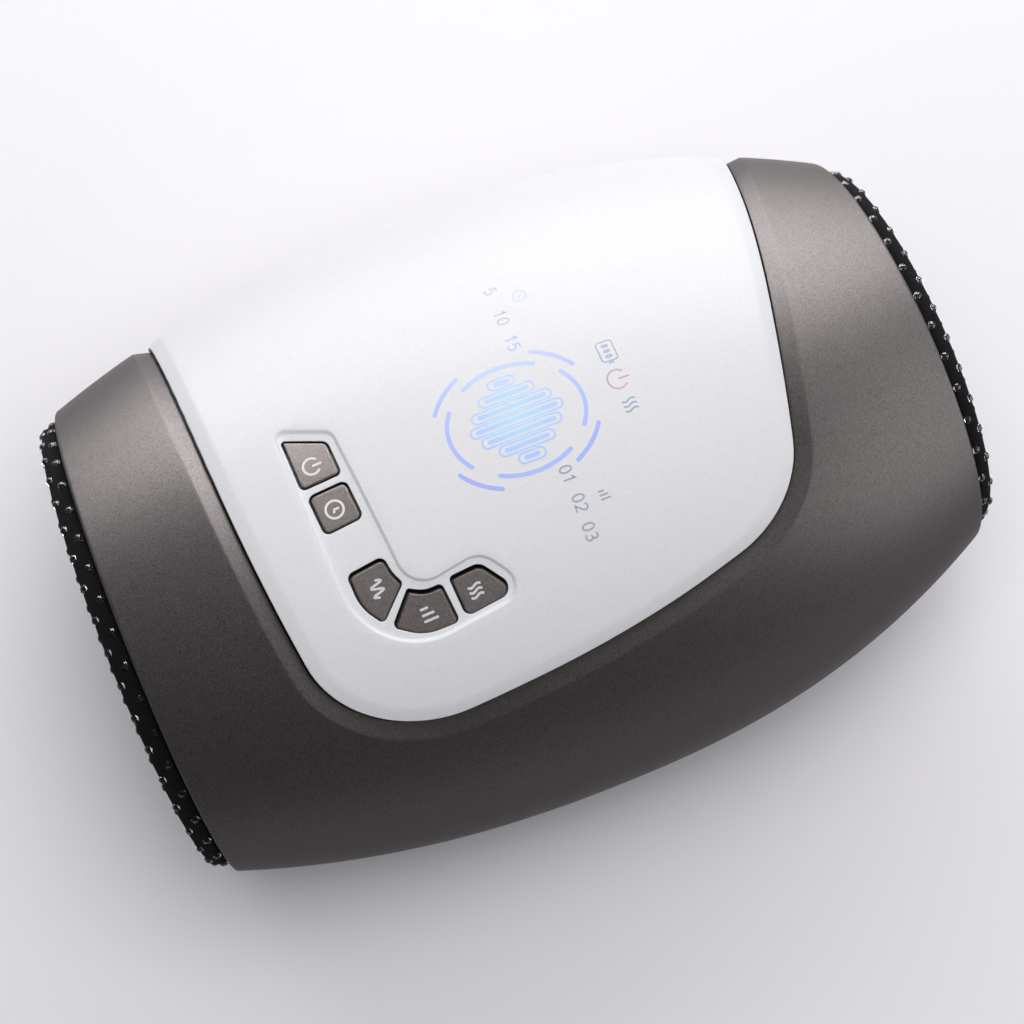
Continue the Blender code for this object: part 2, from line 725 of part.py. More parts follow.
def base_shell(material):
    """Lower casing half: bosses for the screws, pillars for the tunnel floor, pockets for the feet."""
    height = SPLIT - SEAM / 2
    outside, inside = border(0, height, under=True), border(WALL, height, under=True)
    centre = (np.full(len(outside[0]), math.pi), np.zeros(len(outside[0])))
    shares = np.linspace(0, 1, BASE_STEPS)
    rings = [skin(math.pi, 0)]
    rings += [skin(*mixed(centre, outside, share)) for share in shares[1:]]
    rings += [skin(*mixed(centre, inside, share), WALL) for share in shares[:0:-1]]
    rings += [skin(math.pi, 0, WALL)]
    base = piece("base_shell", ring_shell(rings), material)

    boss = rod(SCREW_HEAD + WALL, STANDING, height, 12)
    pillar = rod(PILLAR_RADIUS, STANDING, FRAME_FLOOR - SEAT, 12)
    post = rod(PORT_POST_RADIUS, STANDING, charge_board_low() - SEAT, 8)
    posts = [moved(boss, (x, y, 0)) for x, y in screw_places()]
    posts += [moved(pillar, (x, y, 0)) for x, y in pillar_places()]
    posts += [moved(post, (x, PORT_Y, 0)) for x in port_post_places()]
    trimmed = helper("base_posts", posts)
    combine(trimmed, "INTERSECT", helper("base_core", core(WALL / 2)))
    combine(base, "UNION", trimmed)

    head, shaft = SCREW_HEAD + SEAT, SCREW_SHAFT + SEAT
    stepped = [(0, -OVERRUN), (head, -OVERRUN), (head, SCREW_SEAT), (shaft, SCREW_SEAT)]
    stepped += [(shaft, SPLIT + OVERRUN), (0, SPLIT + OVERRUN)]
    pocket = rod(FOOT_RADIUS + SEAT, -OVERRUN, STANDING + FOOT_POCKET, 20)
    cuts = [moved(turned(stepped, 12), (x, y, 0)) for x, y in screw_places()]
    cuts += [moved(pocket, (x, y, 0)) for x, y in foot_places()]
    combine(base, "DIFFERENCE", helper("base_pockets", cuts))
    slot = block(
        (-HALF_WIDTH, PORT_Y - PORT_WIDTH / 2 - SEAT, PORT_Z - PORT_HEIGHT / 2 - SEAT),
        (port_face() + PORT_LENGTH + SEAT, PORT_Y + PORT_WIDTH / 2 + SEAT, PORT_Z + PORT_HEIGHT / 2 + SEAT),
    )
    combine(base, "DIFFERENCE", helper("base_port_slot", slot))
    return base


def core(depth):
    """The space inside the lower half, that deep within its surface, carried straight up past the pillars."""
    edge = border(depth, SPLIT, under=True)
    centre = (np.full(len(edge[0]), math.pi), np.zeros(len(edge[0])))
    rings = [skin(math.pi, 0, depth)]
    rings += [skin(*mixed(centre, edge, share), depth) for share in np.linspace(0, 1, BASE_STEPS)[1:]]
    lid = FRAME_FLOOR + OVERRUN
    rings += [np.column_stack([rings[-1][:, :2], np.full(len(rings[-1]), lid)]), (0, 0, lid)]
    return ring_shell(rings)


def pillar_places():
    return [(x, y) for x in (-PILLAR_X, PILLAR_X) for y in (-PILLAR_Y, PILLAR_Y)]


def foot_places():
    return [(x, y) for x in (-FOOT_X, FOOT_X) for y in (-FOOT_Y, FOOT_Y)]


def foot(name, place, material):
    """Rubber foot, held in its pocket: a disc with a rounded lower edge."""
    top = STANDING + FOOT_POCKET - SEAT
    profile = [(0, 0), (FOOT_RADIUS - CHINE / 4, 0), (FOOT_RADIUS, CHINE / 4), (FOOT_RADIUS, top), (0, top)]
    return piece(name, moved(turned(profile, 20), (*place, 0)), material)


def screw(name, place, head, shaft, seat, tip, points_up, material):
    """A pan-head screw with its head's underside at the seat."""
    way = 1 if points_up else -1
    profile = [(0, seat - way * SCREW_HEAD_THICK), (head * HEAD_TOP_SHARE, seat - way * SCREW_HEAD_THICK)]
    profile += [(head, seat - way * SCREW_HEAD_THICK / 2), (head, seat), (shaft, seat)]
    profile += [(shaft, tip - way * shaft), (shaft / 2, tip), (0, tip)]
    return piece(name, moved(turned(profile, 10), (*place, 0)), material)


# Mouths and tunnel


def round_mouth(reach):
    """Turns round a mouth, at the same places as the corners of the two casing halves."""
    limit = float(split_turn(reach, WALL, SPLIT))
    over = np.linspace(-limit, limit, MOUTH_STEPS, endpoint=False)
    return np.concatenate([over, np.linspace(limit, math.tau - limit, MOUTH_STEPS, endpoint=False)])


def cuff_ring(name, mouth_at, way, material):
    """Moulded ring just inside a mouth, which clamps the fabric against the casing."""
    turn = round_mouth(way * (NARROW_REACH if way > 0 else WIDE_REACH))
    outer, inner = WALL + RING_GAP, WALL + RING_GAP + RING_THICK
    rings = []
    for depth, back in ((outer, RING_SINK), (outer, RING_LENGTH), (inner, RING_LENGTH), (inner, RING_SINK)):
        rings.append(skin(turn, mouth_at(turn, depth) - way * back, depth))
    return piece(name, ring_shell(rings, closed=True), material)


# Section of a padded cuff: depth from the casing's surface and place outside the mouth, as shares
cuff_section_shares = (
    (0.40, -1.0, 0),
    (0.36, 0, 0.10),
    (0.30, 0, 0.35),
    (0.34, 0, 0.75),
    (0.50, 0, 1.00),
    (0.72, 0, 0.80),
    (0.92, 0, 0.15),
    (1.08, -1.0, 0),
)


def cuff(name, mouth_at, way, material):
    """Padded fabric roll that stands proud of the mouth all round and turns in to the tunnel."""
    turn = round_mouth(way * (NARROW_REACH if way > 0 else WIDE_REACH))
    rings = []
    for inward, back, proud in cuff_section_shares:
        depth = inward * LINING_INSET
        out = back * CUFF_REACH_IN + proud * CUFF_PROUD
        rings.append(skin(turn, mouth_at(turn, depth) + way * out, depth))
    return piece(name, ring_shell(rings, closed=True), material)


def eased(share):
    share = np.clip(share, 0, 1)
    return share * share * (3 - 2 * share)


def tunnel(turn, along, depth=0.0):
    """The tunnel's lining: a low oval over the palm that opens out to the cuffs."""
    reach = WIDE_REACH - CUFF_REACH_IN
    opening = eased((np.abs(along) - TUNNEL_STRAIGHT) / (reach - TUNNEL_STRAIGHT))[..., None]
    over = np.where(np.cos(turn) > 0, TUNNEL_OVER, TUNNEL_UNDER) - depth
    oval = np.stack([
        (TUNNEL_HALF_WIDTH - depth) * np.sin(turn),
        along + 0 * turn,
        TUNNEL_LEVEL + over * np.cos(turn),
    ], axis=-1)
    return oval + (skin(turn, along, LINING_INSET + depth) - oval) * opening


def sleeve(material):
    """Fabric tube that lines the tunnel from cuff to cuff, straight between two flared ends."""
    turn = np.linspace(0, math.tau, TUNNEL_SIDES, endpoint=False)
    back = CUFF_REACH_IN + SEAT + SEAM
    near = wide_mouth(turn, LINING_INSET) + back
    far = narrow_mouth(turn, LINING_INSET) - back
    flare = np.linspace(0, 1, 4)
    stations = [near + (-TUNNEL_STRAIGHT - near) * share for share in flare]
    stations += [TUNNEL_STRAIGHT + (far - TUNNEL_STRAIGHT) * share for share in flare]
    rings = [tunnel(turn, station) for station in stations]
    rings += [tunnel(turn, station, LINING_THICK) for station in stations[::-1]]
    return piece("sleeve", ring_shell(rings, closed=True), material)


def curved_sheet(low, high, half_across, near, far, across_steps=10, along_steps=6):
    """A sheet over the tunnel between two surfaces given as functions of (x, y)."""
    x = np.linspace(-half_across, half_across, across_steps + 1)
    y = np.linspace(near, far, along_steps + 1)
    x, y = np.meshgrid(x, y, indexing="ij")
    return sheet(np.stack([x, y, high(x, y)], axis=-1), np.stack([x, y, low(x, y)], axis=-1))


def over_tunnel(gap):
    """Height of the lining's top over (x, y), plus a gap."""

    def level(x, y):
        turn = np.arcsin(np.clip(x / TUNNEL_HALF_WIDTH, -1, 1))
        return tunnel(turn, y)[..., 2] + gap

    return level


def roof_height(x, gap):
    half = ROOF_HALF_WIDTH - ROOF_THICK
    return LEVEL + (ROOF_RISE - ROOF_THICK) * np.sqrt(1 - (x / half) ** 2) - gap


def heater_film(material):
    low, high = over_tunnel(SEAT), over_tunnel(SEAT + FILM_THICK)
    return piece("heater_film", curved_sheet(low, high, FILM_HALF_WIDTH, -BAG_REACH, BAG_REACH), material)


def roof_bag(name, near, far, spout_y, material):
    """Flat air bag between the heating film and the roof; its spout passes up through the roof."""
    under = over_tunnel(SEAT + FILM_THICK + SEAT + SEAM)

    def upper(x, y):
        """Pillow: full height inside, drawn in to half of it at the edges."""
        full = roof_height(x, SEAT + SEAM)
        edge = np.minimum(FILM_HALF_WIDTH - np.abs(x), np.minimum(y - near, far - y)) / BAG_DIVIDE
        low = under(x, y)
        return low + (full - low) * (PILLOW_EDGE_SHARE + (1 - PILLOW_EDGE_SHARE) * eased(edge))

    bag = piece(name, curved_sheet(under, upper, FILM_HALF_WIDTH, near, far, 10, 8), material)
    root = TUNNEL_LEVEL + TUNNEL_OVER + BAG_ROOM * SPOUT_ROOT_SHARE
    stem = rod(BAG_SPOUT, root, spout_top(), 10)
    combine(bag, "UNION", helper(f"{name}_spout", moved(stem, (SPOUT_X, spout_y, 0))))
    return bag


def lower_airbag(material):
    """Flat air bag under the massage plate; its spout passes down through the tunnel floor."""
    low = FRAME_FLOOR + FRAME_THICK + SEAT
    outline = rounded([(x, y, BAG_DIVIDE / 2) for x, y in corners_of(BAG_HALF_WIDTH, BAG_HALF_LENGTH)], 4)
    drawn = inset(outline, BAG_THICK / 3)
    flat = inset(outline, BAG_THICK)
    rings = [(0, 0, low)]
    for ring, height in ((flat, low), (drawn, low + BAG_THICK / 8), (outline, low + BAG_THICK / 2),
                         (drawn, low + BAG_THICK * 7 / 8), (flat, low + BAG_THICK)):
        rings.append(np.column_stack([ring, np.full(len(ring), height)]))
    rings.append((0, 0, low + BAG_THICK))
    bag = piece("lower_airbag", ring_shell(rings), material)
    stem = moved(rod(BAG_SPOUT, FRAME_FLOOR - SEAT, low + BAG_THICK / 2, 10), (DRIVE_X, manifold_middle(), 0))
    combine(bag, "UNION", helper("lower_spout", stem))
    return bag


def corners_of(half_x, half_y):
    return [(-half_x, -half_y), (half_x, -half_y), (half_x, half_y), (-half_x, half_y)]


def massage_plate(material):
    """Moulded plate on the lower bag with rows of rounded nodes that press through the lining."""
    low = FRAME_FLOOR + FRAME_THICK + SEAT + BAG_THICK + SEAT
    corners = [(x, y, BAG_DIVIDE / 2) for x, y in corners_of(PLATE_HALF_WIDTH, PLATE_HALF_LENGTH)]
    plate = piece("massage_plate", prism(rounded(corners, 4), low, low + PLATE_THICK), material)
    nodes = []
    for x_share in (-0.62, 0, 0.62):
        for y_share in (-0.72, -0.24, 0.24, 0.72):
            base, top = low + PLATE_THICK / 2, low + PLATE_THICK + NODE_HEIGHT
            profile = [(0, base), (NODE_RADIUS, base), (NODE_RADIUS, low + PLATE_THICK)]
            profile += [(NODE_RADIUS * 0.8, top - NODE_HEIGHT * 0.4)]
            profile += [(NODE_RADIUS * 0.45, top - NODE_HEIGHT * 0.08), (0, top)]
            place = (x_share * PLATE_HALF_WIDTH, y_share * PLATE_HALF_LENGTH, 0)
            nodes.append(moved(turned(profile, 10), place))
    combine(plate, "UNION", helper("plate_nodes", nodes))
    return plate


def upper_frame(material):
    """Roof of the tunnel: an arch on the cover's arms, with bosses for the control board."""
    turn = np.linspace(-math.pi / 2, math.pi / 2, 19)
    outer = np.column_stack([ROOF_HALF_WIDTH * np.sin(turn), LEVEL + ROOF_RISE * np.cos(turn)])
    half, over = ROOF_HALF_WIDTH - ROOF_THICK, ROOF_RISE - ROOF_THICK
    inner = np.column_stack([half * np.sin(turn[::-1]), LEVEL + over * np.cos(turn[::-1])])
    foot_level = ARM_TOP + SEAT
    section = np.concatenate([
        [(-ROOF_HALF_WIDTH, foot_level)], outer, [(ROOF_HALF_WIDTH, foot_level), (half, foot_level)], inner,
        [(-half, foot_level)],
    ])
    points, faces = prism(section, -ROOF_HALF_LENGTH, ROOF_HALF_LENGTH)
    arch = (np.column_stack([points[:, 0], points[:, 2], points[:, 1]]), faces)
    frame = piece("upper_frame", arch, material)
    bosses, holes = [], []
    for x, y in board_screw_places():
        seat = BOARD_TOP - BOARD_THICK - SEAT
        bosses.append(moved(rod(BOARD_BOSS, roof_height(x, 0) + ROOF_THICK / 2, seat, 12), (x, y, 0)))
        holes.append(moved(rod(BOARD_SCREW + SEAT, seat - BOARD_SCREW_LENGTH, seat + OVERRUN, 10), (x, y, 0)))
    for y in (-BAG_REACH + SPOUT_INSET, BAG_REACH - SPOUT_INSET):
        holes.append(moved(rod(BAG_SPOUT + SEAT, LEVEL, CROWN, 12), (SPOUT_X, y, 0)))
    combine(frame, "UNION", helper("roof_bosses", bosses))
    combine(frame, "DIFFERENCE", helper("roof_holes", holes))
    return frame


# Board screws, as shares of the board's reach to each side
board_screw_shares = ((-0.88, -0.90), (0.50, -0.66), (0.86, 0.90), (-0.88, 0.90))


def board_screw_places():
    return [
        (x * (BOARD_RIGHT if x > 0 else BOARD_LEFT), y * (BOARD_FAR if y > 0 else BOARD_NEAR))
        for x, y in board_screw_shares
    ]


def control_board(material):
    corners = [(-BOARD_LEFT, -BOARD_NEAR, CORNER), (BOARD_RIGHT, -BOARD_NEAR, ISLAND_LENGTH * BOARD_CORNER_SHARE)]
    corners += [(BOARD_RIGHT, BOARD_FAR, CORNER), (-BOARD_LEFT, BOARD_FAR, CORNER)]
    board = piece("control_board", prism(rounded(corners, 6), BOARD_TOP - BOARD_THICK, BOARD_TOP), material)
    holes = [
        moved(rod(BOARD_SCREW + SEAT, BOARD_TOP - OVERRUN, BOARD_TOP + OVERRUN, 10), (x, y, 0))
        for x, y in board_screw_places()
    ]
    combine(board, "DIFFERENCE", helper("board_holes", holes))
    return board


# The light box's outline and its wells, as shares of the board's reach to the right and near: x, y, rounding
light_box_shares = (
    (-0.95, -0.40, 0.04),
    (0.54, -0.40, 0.04),
    (0.54, -0.195, 0.04),
    (0.90, -0.195, 0.04),
    (0.90, 0.51, 0.04),
    (-0.95, 0.51, 0.04),
)
light_well_shares = (
    ((-0.42, -0.36), (0.42, 0.29)),
    ((-0.90, -0.015), (-0.47, 0.21)),
    ((0.47, -0.07), (0.84, 0.195)),
    ((-0.26, 0.345), (0.26, 0.47)),
)


def light_box(material):
    """White shroud between the board and the panel, with a well of light behind each lit group."""
    corners = [(x * BOARD_RIGHT, y * BOARD_NEAR, r * BOARD_RIGHT) for x, y, r in light_box_shares]
    outline = rounded(corners, 3)
    box = piece("light_box", prism(outline, BOARD_TOP + SEAT, CROWN + OVERRUN), material)
    combine(box, "INTERSECT", helper("light_slab", slab(PANEL_THICK + SEAT + SEAM, CROWN - LEVEL - WALL)))
    wells = []
    for low, high in light_well_shares:
        wells.append(block(
            (low[0] * BOARD_RIGHT, low[1] * BOARD_NEAR, BOARD_TOP - OVERRUN),
            (high[0] * BOARD_RIGHT, high[1] * BOARD_NEAR, CROWN + OVERRUN),
        ))
    combine(box, "DIFFERENCE", helper("light_wells", wells))
    return box


def buzzer(material):
    low = BOARD_TOP + SEAT
    profile = [(0, low), (BUZZER_RADIUS, low), (BUZZER_RADIUS, low + BUZZER_HEIGHT)]
    profile += [(BUZZER_RADIUS / 4, low + BUZZER_HEIGHT), (BUZZER_RADIUS / 4, low + BUZZER_HEIGHT / 2)]
    profile += [(0, low + BUZZER_HEIGHT / 2)]
    return piece("buzzer", moved(turned(profile), (BUZZER_X, BUZZER_Y, 0)), material)


def lower_frame(material):
    """Floor of the tunnel, over the drive bay, with a hole for the lower bag's spout."""
    corners = [(x, y, BAG_DIVIDE) for x, y in corners_of(FRAME_HALF_WIDTH, FRAME_HALF_LENGTH)]
    frame = piece("lower_frame", prism(rounded(corners, 5), FRAME_FLOOR, FRAME_FLOOR + FRAME_THICK), material)
    hole = rod(BAG_SPOUT + SEAT, FRAME_FLOOR - OVERRUN, FRAME_FLOOR + OVERRUN, 12)
    combine(frame, "DIFFERENCE", helper("frame_hole", moved(hole, (DRIVE_X, manifold_middle(), 0))))
    return frame


# Drive bay


def motor_axis():
    return BAY_FLOOR + MOTOR_RADIUS


def pump_near():
    return MOTOR_NEAR + MOTOR_LENGTH + SEAT


def manifold_near():
    return pump_near() + PUMP_LENGTH + SEAT


def manifold_middle():
    return manifold_near() + MANIFOLD_LENGTH / 2


def pump_motor(material):
    """Motor can with its shaft bore open at the pump's end and a boss at the other."""
    length, bore = MOTOR_LENGTH, SHAFT_RADIUS + SEAT
    boss = MOTOR_RADIUS * 0.35
    profile = [(0, 0), (boss, 0), (boss, BOSS_LENGTH), (MOTOR_RADIUS * 0.9, BOSS_LENGTH)]
    profile += [(MOTOR_RADIUS, BOSS_LENGTH + SEAM), (MOTOR_RADIUS, length)]
    profile += [(bore, length), (bore, length / 2), (0, length / 2)]
    can = moved(along_y(turned(profile, 20)), (DRIVE_X, MOTOR_NEAR, motor_axis()))
    return piece("pump_motor", can, material)


def pump_rotor(material):
    """Motor shaft with the crank that drives the diaphragms: a hub and a pin off its axis."""
    start = MOTOR_LENGTH / 2 + SEAT
    hub = MOTOR_LENGTH + SEAT + CAVITY_DEPTH / 4
    profile = [(0, start), (SHAFT_RADIUS, start), (SHAFT_RADIUS, hub), (CRANK_RADIUS, hub)]
    profile += [(CRANK_RADIUS, hub + CRANK_LENGTH), (0, hub + CRANK_LENGTH)]
    place = (DRIVE_X, MOTOR_NEAR, motor_axis())
    rotor = piece("pump_rotor", moved(along_y(turned(profile)), place), material)
    pin = rod(SHAFT_RADIUS, hub + CRANK_LENGTH / 2, hub + CRANK_LENGTH + PIN_LENGTH, 10)
    guide = helper("crank_pin", moved(along_y(moved(pin, (CRANK_RADIUS / 2, 0, 0))), place))
    set_origin(rotor, place)
    combine(rotor, "UNION", guide)
    return rotor


def pump_head(material):
    """Pump body: a block with a round cavity, open to the motor, in which the crank runs."""
    half, near = PUMP_SIDE / 2, pump_near()
    axis = BAY_FLOOR + half
    far, top = near + PUMP_LENGTH, BAY_FLOOR + PUMP_SIDE
    head = piece("pump_head", block((DRIVE_X - half, near, BAY_FLOOR), (DRIVE_X + half, far, top)), material)
    cavity = along_y(rod(half * CAVITY_SHARE, -OVERRUN, CAVITY_DEPTH, 20))
    combine(head, "DIFFERENCE", helper("pump_cavity", moved(cavity, (DRIVE_X, near, motor_axis()))))
    fins = []
    for share in (0.55, 0.70, 0.85):
        y = near + PUMP_LENGTH * share
        for side in (-1, 1):
            fins.append(block(
                (DRIVE_X + side * half - WALL / 2, y - SEAM, axis - half / 2),
                (DRIVE_X + side * half + WALL / 2, y + SEAM, axis + half / 2),
            ))
    combine(head, "DIFFERENCE", helper("pump_joints", fins))
    return head


def air_manifold(material):
    """Block that shares the pump's air out, with a port up to the lower bag and two to the hoses."""
    near, far = manifold_near(), manifold_near() + MANIFOLD_LENGTH
    half = VALVE_WIDTH + SEAT
    body = block((DRIVE_X - half, near, BAY_FLOOR), (DRIVE_X + half, far, BAY_FLOOR + VALVE_HEIGHT))
    manifold = piece("air_manifold", body, material)
    port = rod(BAG_SPOUT, BAY_FLOOR + VALVE_HEIGHT / 2, BAY_FLOOR + VALVE_HEIGHT + PORT_RISE, 10)
    combine(manifold, "UNION", helper("manifold_port", moved(port, (DRIVE_X, manifold_middle(), 0))))
    bore = along_y(rod(SHAFT_RADIUS, -OVERRUN, MANIFOLD_LENGTH / 2, 10))
    combine(manifold, "DIFFERENCE", helper("manifold_bore", moved(bore, (DRIVE_X, near, motor_axis()))))
    return manifold


def valve_places():
    near = manifold_near() + MANIFOLD_LENGTH + SEAT
    return [(DRIVE_X + side * (VALVE_WIDTH + SEAT) / 2, near + VALVE_LENGTH / 2) for side in (-1, 1)]


def valve_body(name, place, material):
    """Vent valve: a coil housing with a bore from above for its plunger."""
    x, y = place
    low, high = BAY_FLOOR, BAY_FLOOR + VALVE_HEIGHT
    half_x, half_y = VALVE_WIDTH / 2, VALVE_LENGTH / 2
    valve = piece(name, block((x - half_x, y - half_y, low), (x + half_x, y + half_y, high)), material)
    bore = moved(rod(PLUNGER_RADIUS + SEAT, low + WALL, high + OVERRUN, 12), (x, y, 0))
    combine(valve, "DIFFERENCE", helper(f"{name}_bore", bore))
    return valve


def valve_plunger(name, place, material):
    """Steel plunger, sprung up against its stop and drawn down by the coil."""
    low = BAY_FLOOR + WALL + SEAT + PLUNGER_TRAVEL
    high = BAY_FLOOR + VALVE_HEIGHT + PLUNGER_RADIUS
    profile = [(0, low), (PLUNGER_RADIUS, low), (PLUNGER_RADIUS, high - SEAM)]
    profile += [(PLUNGER_RADIUS - SEAM, high), (0, high)]
    plunger = piece(name, moved(turned(profile, 12), (*place, 0)), material)
    set_origin(plunger, (*place, low))
    return plunger


def cell_places():
    return [BATTERY_X - CELL_SPACING / 2, BATTERY_X + CELL_SPACING / 2]


def battery_cell(name, x, material):
    """Round cell lying along the bay, with its raised end cap."""
    half, radius = CELL_LENGTH / 2, CELL_RADIUS
    cap = radius * CELL_CAP_SHARE
    profile = [(0, -half), (radius - SEAM, -half), (radius, -half + SEAM), (radius, half - SEAM)]
    profile += [(radius - SEAM, half), (cap, half), (cap, half + CELL_CAP), (0, half + CELL_CAP)]
    height = BAY_FLOOR + TRAY_WALL + SEAT + radius
    return piece(name, moved(along_y(turned(profile, 20)), (x, 0, height)), material)


def battery_tray(material):
    """Open box for the two cells, moulded in one piece."""
    half_x = CELL_SPACING / 2 + CELL_RADIUS + SEAT + SEAM
    half_y = tray_half_length() - TRAY_WALL
    rim = BAY_FLOOR + TRAY_WALL + CELL_RADIUS
    left, right, wall = BATTERY_X - half_x, BATTERY_X + half_x, TRAY_WALL
    outside = block((left - wall, -half_y - wall, BAY_FLOOR), (right + wall, half_y + wall, rim))
    tray = piece("battery_tray", outside, material)
    inside = block((left, -half_y, BAY_FLOOR + wall), (right, half_y, rim + OVERRUN))
    combine(tray, "DIFFERENCE", helper("tray_inside", inside))
    return tray


def wall_reach(along, height, depth):
    """How far out the lower half's wall reaches at a height."""
    share = (LEVEL - height) / (belly(along) - depth)
    return float((half_width(along) - depth) * math.sqrt(1 - share**2))


def port_face():
    """The port's mouth, flush with the base's outside at its lower edge."""
    return SEAT - wall_reach(PORT_Y, PORT_Z - PORT_HEIGHT / 2, 0)


def charge_board_low():
    return PORT_Z + PORT_HEIGHT / 2 + SEAT


def charge_board_start():
    return SEAT - wall_reach(PORT_Y + charge_board_half(), charge_board_low(), WALL)


def charge_board_half():
    return PORT_WIDTH / 2 + WALL


def port_post_places():
    return [charge_board_start() + CHARGE_BOARD_LENGTH * share for share in (0.58, 0.88)]


def charge_port(material):
    """Charging socket under its board: a flat metal shell with its slot open to the outside."""
    face = port_face()
    low, high = PORT_Z - PORT_HEIGHT / 2, PORT_Z + PORT_HEIGHT / 2
    body = block((face, PORT_Y - PORT_WIDTH / 2, low), (face + PORT_LENGTH, PORT_Y + PORT_WIDTH / 2, high))
    port = piece("charge_port", body, material)
    rim = SEAT + SEAM / 2
    slot = block((face - OVERRUN, PORT_Y - PORT_WIDTH / 2 + rim, low + rim),
                 (face + PORT_LENGTH * 0.8, PORT_Y + PORT_WIDTH / 2 - rim, high - rim))
    combine(port, "DIFFERENCE", helper("port_slot", slot))
    return port


def charge_board(material):
    low, half, start = charge_board_low(), charge_board_half(), charge_board_start()
    end, high = start + CHARGE_BOARD_LENGTH, low + CHARGE_BOARD_THICK
    return piece("charge_board", block((start, PORT_Y - half, low), (end, PORT_Y + half, high)), material)


# Hoses and leads, clipped inside the casing all the way: places between their two ends, hand-chosen as shares
# of the casing's half width, its wide reach and its height.
palm_hose_shares = (
    (-0.61, -0.06, 0.21), (-0.69, -0.11, 0.27), (-0.80, -0.15, 0.37), (-0.85, -0.23, 0.49),
    (-0.81, -0.37, 0.62), (-0.67, -0.50, 0.73), (-0.51, -0.60, 0.79), (-0.32, -0.61, 0.84),
    (-0.20, -0.60, 0.865),
)
finger_hose_shares = (
    (-0.66, 0.14, 0.22), (-0.72, 0.16, 0.28), (-0.79, 0.205, 0.36), (-0.835, 0.31, 0.47),
    (-0.785, 0.43, 0.60), (-0.66, 0.53, 0.71), (-0.49, 0.59, 0.77), (-0.30, 0.60, 0.82),
    (-0.20, 0.595, 0.85),
)
battery_lead_shares = (
    (0.28, 0.42, 0.13), (0.43, 0.42, 0.18), (0.57, 0.39, 0.23), (0.68, 0.34, 0.27),
    (0.77, 0.30, 0.33), (0.82, 0.27, 0.43), (0.80, 0.24, 0.57), (0.70, 0.225, 0.69),
    (0.57, 0.205, 0.77), (0.48, 0.195, 0.80),
)
motor_lead_shares = (
    (-0.46, -0.565, 0.18), (-0.56, -0.555, 0.20), (-0.63, -0.49, 0.225), (-0.69, -0.44, 0.265),
    (-0.755, -0.39, 0.32), (-0.785, -0.33, 0.415), (-0.755, -0.255, 0.54), (-0.685, -0.195, 0.65),
    (-0.57, -0.165, 0.745), (-0.47, -0.155, 0.80),
)


def route(start, leaving, shares, arriving, end, radius):
    """Points from one end to the other; the line leaves and arrives straight."""
    between = [(x * HALF_WIDTH, y * WIDE_REACH, z * CROWN) for x, y, z in shares]
    first = Vector(start) + Vector(leaving) * (radius * STRAIGHT_END_SHARE)
    last = Vector(end) - Vector(arriving) * (radius * STRAIGHT_END_SHARE)
    return [Vector(start), first, *(Vector(point) for point in between), last, Vector(end)]


def palm_hose(material):
    start = (manifold_side(), manifold_near() + MANIFOLD_LENGTH * 0.27, BAY_FLOOR + VALVE_HEIGHT * 0.70)
    end = (SPOUT_X, SPOUT_INSET - BAG_REACH, spout_top() + SEAT)
    points = route(start, (-1, 0, 0), palm_hose_shares, (0, 0, -1), end, HOSE_RADIUS)
    return tube("palm_hose", points, HOSE_RADIUS, material)


def finger_hose(material):
    start = (manifold_side(), manifold_near() + MANIFOLD_LENGTH * 0.77, BAY_FLOOR + VALVE_HEIGHT * 0.70)
    end = (SPOUT_X, BAG_REACH - SPOUT_INSET, spout_top() + SEAT)
    points = route(start, (-1, 0, 0), finger_hose_shares, (0, 0, -1), end, HOSE_RADIUS)
    return tube("finger_hose", points, HOSE_RADIUS, material)


def battery_lead(material):
    """From the end of the battery tray, up past the tunnel's roof to the control board."""
    start = (BATTERY_X + CELL_RADIUS, tray_half_length() + SEAT, BAY_FLOOR + CELL_RADIUS * 0.65)
    end = (BOARD_RIGHT * 0.91, BOARD_FAR * 0.55, BOARD_TOP - BOARD_THICK - SEAT)
    points = route(start, (0, 1, 0), battery_lead_shares, (0, 0, 1), end, LEAD_RADIUS)
    return tube("battery_lead", points, LEAD_RADIUS, material)


def motor_lead(material):
    """From the motor's rear, up past the tunnel's roof to the control board."""
    start = (DRIVE_X, MOTOR_NEAR - SEAT, motor_axis())
    end = (-BOARD_LEFT * 0.91, -BOARD_NEAR * 0.28, BOARD_TOP - BOARD_THICK - SEAT)
    points = route(start, (0, -1, 0), motor_lead_shares, (0, 0, 1), end, LEAD_RADIUS)
    return tube("motor_lead", points, LEAD_RADIUS, material)


def manifold_side():
    return DRIVE_X - VALVE_WIDTH - SEAT - SEAT


def spout_top():
    return roof_height(0, 0) + ROOF_THICK + SEAT


def tray_half_length():
    return CELL_LENGTH / 2 + CELL_CAP + SEAT + SEAM + TRAY_WALL


def smooth_route(points, steps=2):
    """Points along a smooth curve through the given ones; the first and the last stretch stay straight."""
    made = [points[0]]
    for a, b, c, d in zip(points, points[1:], points[2:], points[3:]):
        for i in range(steps):
            t = i / steps
            made.append(
                b + (c - a) * (t / 2) + (a * 2 - b * 5 + c * 4 - d) * (t * t / 2)
                + (b * 3 - a - c * 3 + d) * (t * t * t / 2)
            )
    return made + points[-2:]


def tube(name, points, radius, material):
    curve = bpy.data.curves.new(name, "CURVE")
    curve.dimensions = "3D"
    curve.bevel_depth = radius
    curve.bevel_resolution = 2
    curve.use_fill_caps = True
    line = curve.splines.new("POLY")
    points = smooth_route(points)
    line.points.add(len(points) - 1)
    for slot, point in zip(line.points, points):
        slot.co = (*point, 1)
    curve.materials.append(material)
    made = bpy.data.objects.new(name, curve)
    bpy.context.scene.collection.objects.link(made)
    return made


